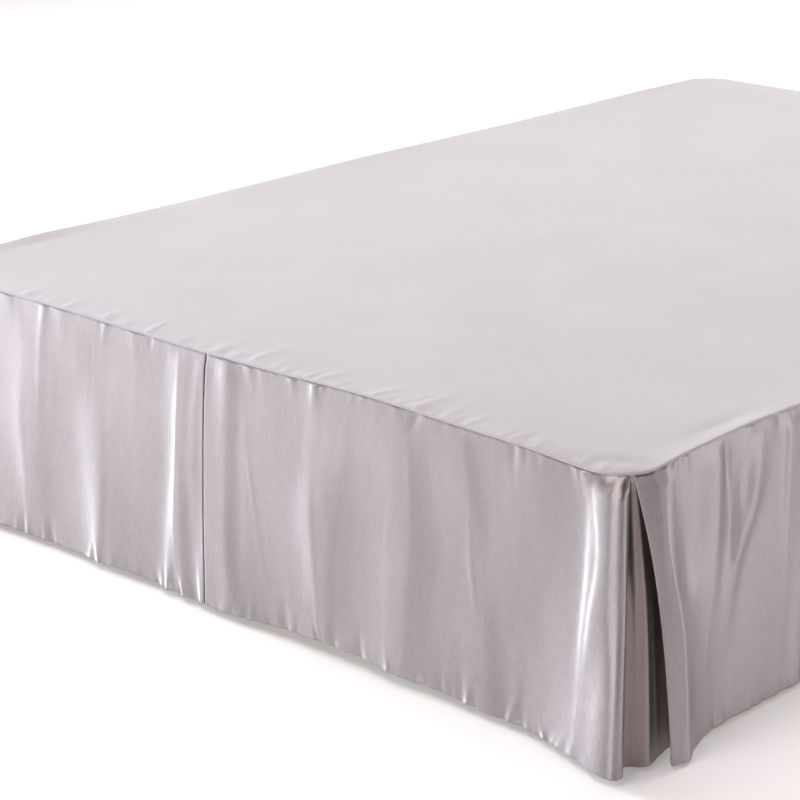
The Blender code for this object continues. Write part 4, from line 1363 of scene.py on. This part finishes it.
@dataclass
class Deck:
    """The flat deck, rolled over the edge of the base and puckered by its seams.

    The place of a hollow is metres in from a long side and metres up from the foot, and its size is
    its half width across and along the bed.
    """

    shape: SkirtShape
    column: float = 0.0032
    fine_row: float = 0.0040
    coarse_row: float = 0.018
    fine_reach: float = 0.36
    seam_reach: float = 0.045
    roll_steps: int = 4
    tuck: float = 0.0030
    row_growth: float = 1.06
    lift_reach: float = 0.32
    lift_from_foot: float = 0.03
    lift_ease: float = 0.17
    wrinkle_ease: float = 0.008
    side_wrinkles_to: float = -0.6
    placed_scale: Pair = (1.2, 1.2)
    corner_hollow: float = 0.0024
    corner_hollow_place: Pair = (0.052, 0.030)
    corner_hollow_size: Pair = (0.030, 0.013)
    corner_hollow_turn: float = 0.35
    side_hollow: float = 0.0016
    side_hollow_place: Pair = (0.030, 0.205)
    side_hollow_size: Pair = (0.013, 0.060)
    allowance: float = 0.010
    foot_gathers: Gathers = Gathers(0.010, (0.0030, 0.0060), (0.016, 0.080), (0.0003, 0.0009), 0.40)
    side_gathers: Gathers = Gathers(0.017, (0.0040, 0.0080), (0.010, 0.050), (0.0003, 0.0008), 0.30)

    def edge_lines(self, half: float) -> list[float]:
        """Places past the flat part of the deck, round its roll and down its seam allowance."""
        roll = 0.5 * math.pi * self.shape.roll_radius
        start = half - self.shape.roll_radius
        lines = [start + roll * step / self.roll_steps for step in range(1, self.roll_steps + 1)]
        return lines + [start + roll + self.tuck, start + roll + self.tuck + self.allowance]

    def column_lines(self) -> Array:
        """Places of the columns across the bed."""
        half = self.shape.width / 2
        flat = half - self.shape.roll_radius
        edge = self.edge_lines(half)
        lines = even_places(-flat, flat, self.column)
        return np.array([-place for place in reversed(edge)] + list(lines) + edge)

    def row_lines(self) -> Array:
        """Places of the rows along the bed, close together at the foot and wider towards the head."""
        half = self.shape.length / 2
        flat = half - self.shape.roll_radius
        lines, step = [-flat], self.fine_row
        while lines[-1] < flat - 0.5 * self.coarse_row:
            if lines[-1] > -flat + self.fine_reach:
                step = min(step * self.row_growth, self.coarse_row)
            lines.append(min(lines[-1] + step, flat))
        lines[-1] = flat
        edge = self.edge_lines(half)
        return np.array([-place for place in reversed(edge)] + lines + edge)

    def nearest_seam(self, plan: Array, outward: Array) -> Array:
        """Place along the seam that is nearest to each point of the deck's edge band.

        Args:
            plan: Plan points about the deck's own middle.
            outward: Outward directions at them.

        Returns:
            Places along the seam.
        """
        shape = self.shape
        inner_y = shape.length / 2 - shape.corner_radius
        half_arc = 0.5 * shape.corner_arc
        x, y = plan[..., 0], plan[..., 1]
        turned = np.arctan2(outward[..., 1], np.abs(outward[..., 0])) * shape.corner_radius
        past_side = half_arc + y + inner_y
        past_side = np.where(outward[..., 1] < -NEARLY_NONE, half_arc + turned, past_side)
        past_side = np.where(y > inner_y, shape.straight_side + half_arc + turned, past_side)
        along = np.where(x > 0, shape.right_corner + past_side, shape.left_corner - past_side)
        on_foot = (outward[..., 1] < 0) & (np.abs(outward[..., 0]) < NEARLY_NONE)
        return np.where(on_foot, shape.left_corner + half_arc + shape.straight_foot / 2 + x, along)

    def relief(self, x: Array, y: Array) -> Array:
        """Height of the wrinkles and hollows above the flat deck.

        The hollows lie inside each foot corner, and beside each long side a little further on.

        Args:
            x: Places across the bed.
            y: Places along the bed, from its own middle.

        Returns:
            Metres upward.
        """
        half_x, half_y = self.shape.width / 2, self.shape.length / 2
        from_foot, from_right, from_left = y + half_y, half_x - x, half_x + x
        placed = tuple(
            Pucker(half_x - item.at, item.width, item.length, item.depth, item.lean)
            for item in scaled(DECK_FOOT_PUCKERS, *self.placed_scale)
        )
        height = puckered(self.foot_gathers.row(-half_x, half_x, 11) + placed, x, from_foot)
        fine = y < -half_y + self.fine_reach
        for seed, across in ((12, from_right), (13, from_left)):
            gathers = self.side_gathers.row(-half_y, self.side_wrinkles_to, seed)
            height = height + np.where(fine, puckered(gathers, y, across), 0)
        inside = smooth(np.minimum(np.minimum(from_foot, from_right), from_left) / self.wrinkle_ease)
        for across in (from_right, from_left):
            past, up = across - self.corner_hollow_place[0], from_foot - self.corner_hollow_place[1]
            hollow = bump(past, self.corner_hollow_size[0])
            hollow = hollow * bump(self.corner_hollow_turn * past + up, self.corner_hollow_size[1])
            past, up = across - self.side_hollow_place[0], from_foot - self.side_hollow_place[1]
            beside = bump(past, self.side_hollow_size[0]) * bump(up, self.side_hollow_size[1])
            height = height - self.corner_hollow * hollow - self.side_hollow * beside
        return height * inside

    def surface(self, x: Array, y: Array) -> Array:
        """Points of the deck.

        Args:
            x: Places across the flat cloth.
            y: Places along the flat cloth.

        Returns:
            Points in the row frame.
        """
        shape = self.shape
        inner = np.array([shape.width / 2 - shape.corner_radius, shape.length / 2 - shape.corner_radius])
        flat = np.stack([x, y], axis=-1)
        core = np.clip(flat, -inner, inner)
        away = flat - core
        reach = np.abs(away).max(axis=-1)
        span = np.linalg.norm(away, axis=-1)
        outward = away / np.where(span < NEARLY_NONE, 1, span)[..., None]
        roll_start = shape.corner_radius - shape.roll_radius
        past = reach - roll_start
        turned = np.clip(past / shape.roll_radius, 0, 0.5 * math.pi)
        beyond = np.clip(past - 0.5 * math.pi * shape.roll_radius, 0, None)
        radius = np.minimum(reach, roll_start) + shape.roll_radius * np.sin(turned)
        tucked = np.minimum(beyond, self.tuck)
        height = shape.deck_top - shape.roll_radius * (1 - np.cos(turned)) - (beyond - tucked)
        plan = core + outward * (radius - tucked)[..., None]
        edge = shape.seam_height(self.nearest_seam(plan, outward)) + shape.roll_radius - shape.deck_top
        nearness = np.clip(1 - (shape.corner_radius - radius) / self.seam_reach, 0, None)
        from_side = np.clip(shape.width / 2 - np.abs(plan[..., 0]), 0, None)
        from_foot = plan[..., 1] + shape.length / 2
        lift = shape.side_seam_rise * np.clip(1 - from_side / self.lift_reach, 0, None) ** 2
        lift = lift * smooth((from_foot - self.lift_from_foot) / self.lift_ease)
        height = height + lift + np.where(span < NEARLY_NONE, 0, (edge - lift) * nearness * nearness)
        height = height + self.relief(plan[..., 0], plan[..., 1])
        points = np.concatenate([plan, height[..., None]], axis=-1)
        return points + np.array([0, shape.offset_y, 0])

    def build(self) -> Piece:
        """Build the deck."""
        x, y = np.meshgrid(self.column_lines(), self.row_lines()[::-1])
        return cloth_mesh("deck_cloth", self.surface(x, y), np.stack([x, y], axis=-1))

    def flat_size(self) -> Pair:
        """Width and length that the deck is cut to, with its roll and seam allowance."""
        rolled = (math.pi - 2) * self.shape.roll_radius
        more = rolled + 2 * (self.tuck + self.allowance)
        return self.shape.width + more, self.shape.length + more


@dataclass(frozen=True)
class Stitching:
    """A row of small stitches that shows on the face of the cloth."""

    pitch: float = 0.0036
    length: float = 0.0024
    width: float = 0.0005
    above_hem: float = 0.010
    proud: float = 0.0001
    sampling: float = 0.0012

    def build(self, name: str, points: Array, outward: Array) -> Piece:
        """Build the stitches as small raised spindles, each with a point at its ends and a ring of four.

        Args:
            name: The piece's name.
            points: The line they follow, closely spaced.
            outward: The direction that the cloth faces at each point.

        Returns:
            The object.
        """
        run = run_along(points)
        vertices, faces = [], []
        for start in np.arange(self.pitch, run[-1] - self.pitch, self.pitch):
            ends = [self.at(run, points, start), self.at(run, points, start + self.length)]
            middle = self.at(run, points, start + 0.5 * self.length)
            face = self.at(run, outward, start)
            face = face / np.linalg.norm(face)
            ahead = (ends[1] - ends[0]) / np.linalg.norm(ends[1] - ends[0])
            beside = np.cross(ahead, face)
            ring = [
                middle + 0.5 * self.width * (math.cos(turn) * beside + math.sin(turn) * face)
                for turn in np.arange(4) * 0.5 * math.pi
            ]
            first = len(vertices)
            vertices += [ends[0], *ring, ends[1]]
            for side in range(4):
                following = (side + 1) % 4
                faces.append((first, first + 1 + following, first + 1 + side))
                faces.append((first + 5, first + 1 + side, first + 1 + following))
        return new_piece(name, [vertex.tolist() for vertex in vertices], faces)

    @staticmethod
    def at(run: Array, values: Array, place: float) -> Array:
        """The value a given way along a line."""
        return np.array([np.interp(place, run, values[:, axis]) for axis in range(3)])


@dataclass
class Skirt:
    """The whole skirt: its deck, six drops, five backings and the stitching of its hems."""

    shape: SkirtShape
    lip_gap: float = 0.0024
    split_shift: float = 0.0050
    side_opening: float = 0.0385
    underlay_half_width: float = 0.042
    underlay_depth: float = 0.0050
    inset_half_width: float = 0.112
    inset_depth: float = 0.0056
    inset_flare_width: float = 0.042
    inset_flare_shift: float = 0.010
    side_grid: float = 0.0042
    near_grid: float = 0.0030

    def drops(self) -> list[HangingDrop]:
        """The six drops, from the head end of the left side round to the head end of the right."""
        shape, half = self.shape, self.lip_gap / 2
        split_left = shape.left_corner + self.split_shift
        split_right = shape.right_corner - self.split_shift
        left, foot, right = shape.pleats
        far = {"column": self.side_grid, "row": self.side_grid}
        near = {"column": self.near_grid, "row": self.near_grid}
        near_left = {"end_opening": self.side_opening, **far}
        near_right = {"start_opening": self.side_opening, **near}
        table = (
            ("left_drop_head_cloth", 0.0, left - half, False, True, 21, far),
            ("left_drop_foot_cloth", left + half, split_left - half, True, True, 23, near_left),
            ("foot_drop_left_cloth", split_left + half, foot - half, True, True, 25, {}),
            ("foot_drop_right_cloth", foot + half, split_right - half, True, True, 27, {}),
            ("right_drop_foot_cloth", split_right + half, right - half, True, True, 29, near_right),
            ("right_drop_head_cloth", right + half, shape.seam_length, True, False, 31, far),
        )
        return [HangingDrop(name, shape, *sizes, **more) for name, *sizes, more in table]

    def backings(self) -> list[PleatBacking]:
        """The underlays of the three pleats and the insets of the two split corners."""
        shape = self.shape
        underlay = (self.underlay_half_width, self.underlay_depth, 0.0, 0.0, ())
        inset = (self.inset_half_width, self.inset_depth, self.inset_flare_width, self.inset_flare_shift)
        mirrored = tuple(fold.mirrored() for fold in INSET_FOLDS)
        left, foot, right = shape.pleats
        return [
            PleatBacking("left_pleat_underlay_cloth", shape, left, *underlay, 41),
            PleatBacking("foot_pleat_underlay_cloth", shape, foot, *underlay, 42),
            PleatBacking("right_pleat_underlay_cloth", shape, right, *underlay, 43),
            PleatBacking("left_corner_inset_cloth", shape, shape.left_corner, *inset, mirrored, 44),
            PleatBacking("right_corner_inset_cloth", shape, shape.right_corner, *inset, INSET_FOLDS, 45),
        ]

    def hem_stitches(self, drop: HangingDrop, stitching: Stitching) -> Piece:
        """The stitches that hold a drop's hem.

        Args:
            drop: The drop.
            stitching: The kind of stitching.

        Returns:
            The stitches as one object.
        """
        radius = drop.edge.lip_radius
        place = even_places(radius, drop.end - drop.start - radius, stitching.sampling)
        down = np.full(place.shape, 1 - stitching.above_hem / self.shape.drop)
        points = drop.surface(place, down, np.full(place.shape, stitching.proud))
        _, outward = self.shape.seam(drop.start + place)
        facing = np.concatenate([outward, np.zeros(outward.shape[:-1] + (1,))], axis=-1)
        return stitching.build(drop.name.replace("_cloth", "_hem_stitches"), points, facing)

    def stand_in(self, piece: Piece, flat: Pair) -> None:
        """Args:
            piece: The sheet, named after its solid.
            flat: Width and length that it is cut to. Not used.
        """
        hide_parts(piece.name.replace("_cloth", ""))

    def build(self) -> None:
        """Build and dress every piece of the skirt."""
        satin, shaded_satin = Satin().material(), SHADED_SATIN.material()
        deck_cloth, thread = DeckCloth().material(), Thread().material()
        deck, stitching = Deck(self.shape), Stitching()
        top = deck.build()
        dress(top, deck_cloth)
        self.stand_in(top, deck.flat_size())
        for drop in self.drops():
            sheet, stitches = drop.build(), self.hem_stitches(drop, stitching)
            dress(sheet, satin)
            dress(stitches, thread)
            self.stand_in(sheet, drop.flat_size())
        for backing in self.backings():
            sheet = backing.build()
            # The backings get the darker satin: painted shade, not a different cloth.
            dress(sheet, shaded_satin)
            self.stand_in(sheet, backing.flat_size())


@dataclass
class BaseCover:
    """The cotton cover of the padded box: a top panel, and side panels between two rows of piping."""

    low: Vector
    high: Vector
    corner_radius: float = 0.051
    top_edge: float = 0.032
    bottom_edge: float = 0.010
    piping: float = 0.0034
    panel_inset: float = 0.0030
    column: float = 0.0100
    seam_width: float = 0.0030
    seam_depth: float = 0.0016
    clearance: float = 0.0004
    edge_behind: float = 0.0010
    cord_behind: float = 0.0020
    panel_swell: float = 0.0016
    ruffle_ease: float = 0.0040
    ruffle_share: float = 0.8
    corner_steps: int = 13
    cord_steps: int = 8
    top_steps: int = 8
    bottom_steps: int = 4
    panel_steps: int = 14
    lid_scales: tuple[float, ...] = (0.05, 0.4, 0.8, 0.94)
    gathers: Gathers = Gathers(0.016, (0.004, 0.008), (0.015, 0.045), (0.0003, 0.0010), 0.25)

    def outline(self) -> tuple[Array, Array, Array]:
        """Follow the box's side once round in plan.

        Returns:
            Places along it, plan points and outward directions.
        """
        half = np.array([self.high.x - self.low.x, self.high.y - self.low.y]) / 2
        middle = np.array([self.high.x + self.low.x, self.high.y + self.low.y]) / 2
        inner = half - self.corner_radius
        points, outwards = [], []
        signs = ((1, 1), (-1, 1), (-1, -1), (1, -1))
        for corner, sign in enumerate(signs):
            centre = inner * np.array(sign)
            for angle in np.linspace(0, 0.5 * math.pi, self.corner_steps + 1):
                turned = angle + 0.5 * math.pi * corner
                outwards.append(np.array([math.cos(turned), math.sin(turned)]))
                points.append(centre + self.corner_radius * outwards[-1])
            following = inner * np.array(signs[(corner + 1) % 4]) + self.corner_radius * outwards[-1]
            count = round(float(np.linalg.norm(following - points[-1])) / self.column)
            start = points[-1]
            for share in np.arange(1, count) / count:
                points.append(start + (following - start) * share)
                outwards.append(outwards[-1])
        points = np.array(points)
        return run_along(points), points + middle, np.array(outwards)

    def cord(self, height: float) -> list[Pair]:
        """Distance behind the box's side and height of each row of one round of piping."""
        turns = np.linspace(0.5 * math.pi, -0.5 * math.pi, self.cord_steps + 1)
        radius = self.piping
        rows = [(radius * (1 - math.cos(turn)), height + radius * math.sin(turn)) for turn in turns]
        behind = radius + self.cord_behind
        return [(behind, rows[0][1])] + rows + [(behind, rows[-1][1])]

    def side_rows(self) -> list[Pair]:
        """Distance behind the box's side and height of each row, from the top panel down."""
        upper = self.high.z - self.clearance - self.top_edge
        lower = self.low.z + self.clearance + self.bottom_edge
        rows = []
        for turn in np.linspace(0, 0.5 * math.pi, self.top_steps + 1)[:-1]:
            behind = self.top_edge * (1 - math.sin(turn)) + self.edge_behind
            rows.append((behind, upper + self.top_edge * math.cos(turn)))
        rows += self.cord(upper - self.piping)
        panel_top, panel_bottom = upper - 2 * self.piping, lower + 2 * self.piping
        for share in np.linspace(0, 1, self.panel_steps + 1):
            swell = self.panel_swell * math.sin(math.pi * share)
            rows.append((self.panel_inset - swell, panel_top + (panel_bottom - panel_top) * share))
        rows += self.cord(lower + self.piping)
        for turn in np.linspace(0, 0.5 * math.pi, self.bottom_steps + 1)[1:]:
            behind = self.bottom_edge * (1 - math.cos(turn)) + self.edge_behind
            rows.append((behind, lower - self.bottom_edge * math.sin(turn)))
        return rows

    def build(self) -> Piece:
        """Build the cover."""
        along, plan, outward = self.outline()
        rows = np.array(self.side_rows())
        behind, height = rows[:, 0, None], rows[:, 1, None]
        below_top = self.high.z - self.top_edge - 2 * self.piping - height
        above_bottom = height - self.low.z - self.bottom_edge - 2 * self.piping
        on_panel = smooth(below_top / self.ruffle_ease) * smooth(above_bottom / self.ruffle_ease)
        ruffle = puckered(self.gathers.row(0.0, along[-1], 61), along[None, :], below_top)
        ruffle = ruffle + puckered(self.gathers.row(0.0, along[-1], 62), along[None, :], above_bottom)
        for place in self.seam_places():
            apart = np.minimum(np.abs(along - place), along[-1] - np.abs(along - place))
            ruffle = ruffle - self.seam_depth * bump(apart, self.seam_width)[None, :]
        out = on_panel * np.minimum(ruffle, self.ruffle_share * self.panel_inset) - behind
        side = plan[None, :, :] + outward[None, :, :] * out[..., None]
        side = np.concatenate([side, np.broadcast_to(height, out.shape)[..., None]], axis=-1)
        return self.closed_mesh(np.array(self.lid(side[0]) + list(side) + self.lid(side[-1])[::-1]))

    def seam_places(self) -> list[float]:
        """Places round the side of its upright seams: one at each corner and one at the head."""
        quarter = 0.25 * math.pi * self.corner_radius
        width, depth = self.high.x - self.low.x, self.high.y - self.low.y
        straights = (width - 2 * self.corner_radius, depth - 2 * self.corner_radius)
        corners = [quarter + number * 2 * quarter + sum((straights * 2)[:number]) for number in range(4)]
        return corners + [2 * quarter + 0.5 * straights[0]]

    def lid(self, ring: Array) -> list[Array]:
        """Rings that fill a level ring, from its middle out."""
        middle = np.array([(self.low.x + self.high.x) / 2, (self.low.y + self.high.y) / 2, 0.0])
        return [middle + (ring - middle) * (scale, scale, 1.0) for scale in self.lid_scales]

    @staticmethod
    def closed_mesh(grid: Array) -> Piece:
        """Join a grid of rings into a closed mesh.

        Args:
            grid: Rings by points by three, from the top down.

        Returns:
            The object.
        """
        rings, columns = grid.shape[:2]
        faces = []
        for ring in range(rings - 1):
            for column in range(columns):
                beside = (column + 1) % columns
                above, below = ring * columns, (ring + 1) * columns
                faces.append((above + column, below + column, below + beside, above + beside))
        faces.append(tuple(range(columns)))
        faces.append(tuple(range(rings * columns - 1, (rings - 1) * columns - 1, -1)))
        return new_piece("bed_base_cover", grid.reshape(-1, 3).tolist(), faces)


@dataclass
class BedBase:
    """The plain base: a padded box in cotton ticking, on timber rails and legs."""

    nodes: dict[str, Piece]
    timber_nodes: tuple[str, ...] = ("rail_", "leg_")
    fill: float = 0.9

    def build(self) -> None:
        """Build the cover and dress the timber."""
        ticking, timber = Ticking().material(), Timber().material()
        cover = BaseCover(*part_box("bed_base")).build()
        dress(cover, ticking)
        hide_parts("bed_base")
        for name, node in self.nodes.items():
            if name.startswith(self.timber_nodes):
                dress(node, timber)


@dataclass(frozen=True)
class SoftBox:
    """A square soft box, which faces the foot corner if it has no other aim.

    The azimuth is in degrees, 0 in front of the foot and 90 beside the right side. The elevation is
    in degrees above the floor, the power in watts and the distance in metres from its aim.
    """

    name: str
    azimuth: float
    elevation: float
    size: float
    power: float
    colour: Triple = (1.0, 1.0, 1.0)
    aim: Triple = (0.1, -0.595, 0.2)
    distance: float = 5.0


SOFT_BOXES = (
    SoftBox("key_left", -90.0, 8.0, 0.9, 190.0, (0.89, 1.01, 1.08), aim=(0.1, -1.48, 0.2)),
    SoftBox("near_key", -75.0, 8.0, 1.8, 42.0, (0.90, 1.01, 1.07)),
    SoftBox("left_of_foot", -60.0, 8.0, 1.8, 20.0, (0.92, 1.01, 1.06)),
    SoftBox("by_foot", -45.0, 8.0, 1.8, 16.0, (0.93, 1.01, 1.06)),
    SoftBox("before_foot", -30.0, 8.0, 1.8, 9.0, (0.94, 1.01, 1.05)),
    SoftBox("front", 5.0, 14.0, 2.0, 45.0, (0.94, 1.01, 1.05)),
    SoftBox("beside_right", 97.0, 10.0, 1.8, 12.0, (0.98, 1.00, 1.03)),
    SoftBox("right", 128.0, 10.0, 1.8, 30.0, (0.98, 1.00, 1.03)),
    SoftBox("high_left", -90.0, 55.0, 2.0, 110.0),
    SoftBox("high_front", 0.0, 60.0, 2.0, 60.0, (1.08, 0.96, 0.95)),
    SoftBox("high_back", 180.0, 55.0, 2.0, 110.0, (1.01, 1.00, 1.00)),
    SoftBox("far_floor", 180.0, 89.0, 3.0, 260.0, aim=(-3.0, 6.5, 0.0)),
)


@dataclass
class Studio:
    """A plain pale floor, soft boxes all round and above, and the camera."""

    camera_place: Triple = (2.28858, -3.15611, 1.37781)
    camera_pitch: float = math.radians(18.549)
    camera_turn: float = math.radians(42.587)
    lens: float = 109.307
    sensor: float = 36.0
    floor_size: float = 60.0
    floor_roughness: float = 0.9
    floor_colour: Triple = (0.95, 0.93, 0.93)
    floor_glow: float = 0.27
    glow_colour: Triple = (1.00, 0.97, 0.97)
    world_colour: Triple = (1.00, 0.55, 0.48)
    world_strength: float = 0.06

    def add_camera(self) -> None:
        """Place the camera where the photograph was taken from."""
        data = bpy.data.cameras.new("camera")
        data.lens = self.lens
        data.sensor_width = self.sensor
        camera = bpy.data.objects.new("camera", data)
        camera.location = self.camera_place
        camera.rotation_euler = Euler((0.5 * math.pi - self.camera_pitch, 0.0, self.camera_turn))
        bpy.context.scene.collection.objects.link(camera)
        bpy.context.scene.camera = camera

    def add_floor(self) -> None:
        """Lay the floor."""
        half = self.floor_size / 2
        corners = [(-half, -half, 0), (half, -half, 0), (half, half, 0), (-half, half, 0)]
        floor = new_piece("floor", corners, [(0, 1, 2, 3)])
        board = NodeBoard("floor_finish")
        board.fix({"Base Color": (*self.floor_colour, 1.0), "Roughness": self.floor_roughness})
        board.fix({"Emission Color": (*self.glow_colour, 1.0), "Emission Strength": self.floor_glow})
        floor.data.materials.append(board.material)

    def add_light(self, box: SoftBox) -> None:
        """Add a soft box."""
        data = bpy.data.lights.new(box.name, "AREA")
        data.shape = "SQUARE"
        data.size = box.size
        data.energy = box.power
        data.color = box.colour
        turn, rise = math.radians(box.azimuth), math.radians(box.elevation)
        level = math.cos(rise)
        direction = Vector((math.sin(turn) * level, -math.cos(turn) * level, math.sin(rise)))
        light = bpy.data.objects.new(box.name, data)
        light.location = Vector(box.aim) + box.distance * direction
        light.rotation_euler = direction.to_track_quat("Z", "Y").to_euler()
        bpy.context.scene.collection.objects.link(light)

    def add_world(self) -> None:
        """Light everything faintly and evenly from all round."""
        world = bpy.data.worlds.new("studio")
        world.use_nodes = True
        background = world.node_tree.nodes["Background"]
        background.inputs["Color"].default_value = (*self.world_colour, 1.0)
        background.inputs["Strength"].default_value = self.world_strength
        bpy.context.scene.world = world

    def build(self) -> None:
        """Build the studio."""
        self.add_camera()
        self.add_floor()
        self.add_world()
        for box in SOFT_BOXES:
            self.add_light(box)
        bpy.context.scene.view_settings.view_transform = "Standard"
        log.info("studio: camera, floor and %d soft boxes", len(SOFT_BOXES))


def main() -> None:
    """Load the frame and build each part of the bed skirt."""
    logging.basicConfig(level=logging.INFO, format="%(message)s")
    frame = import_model()
    shape = SkirtShape.from_frame()
    BedBase(frame["nodes"]).build()
    Skirt(shape).build()
    Studio().build()


if __name__ == "__main__":
    main()
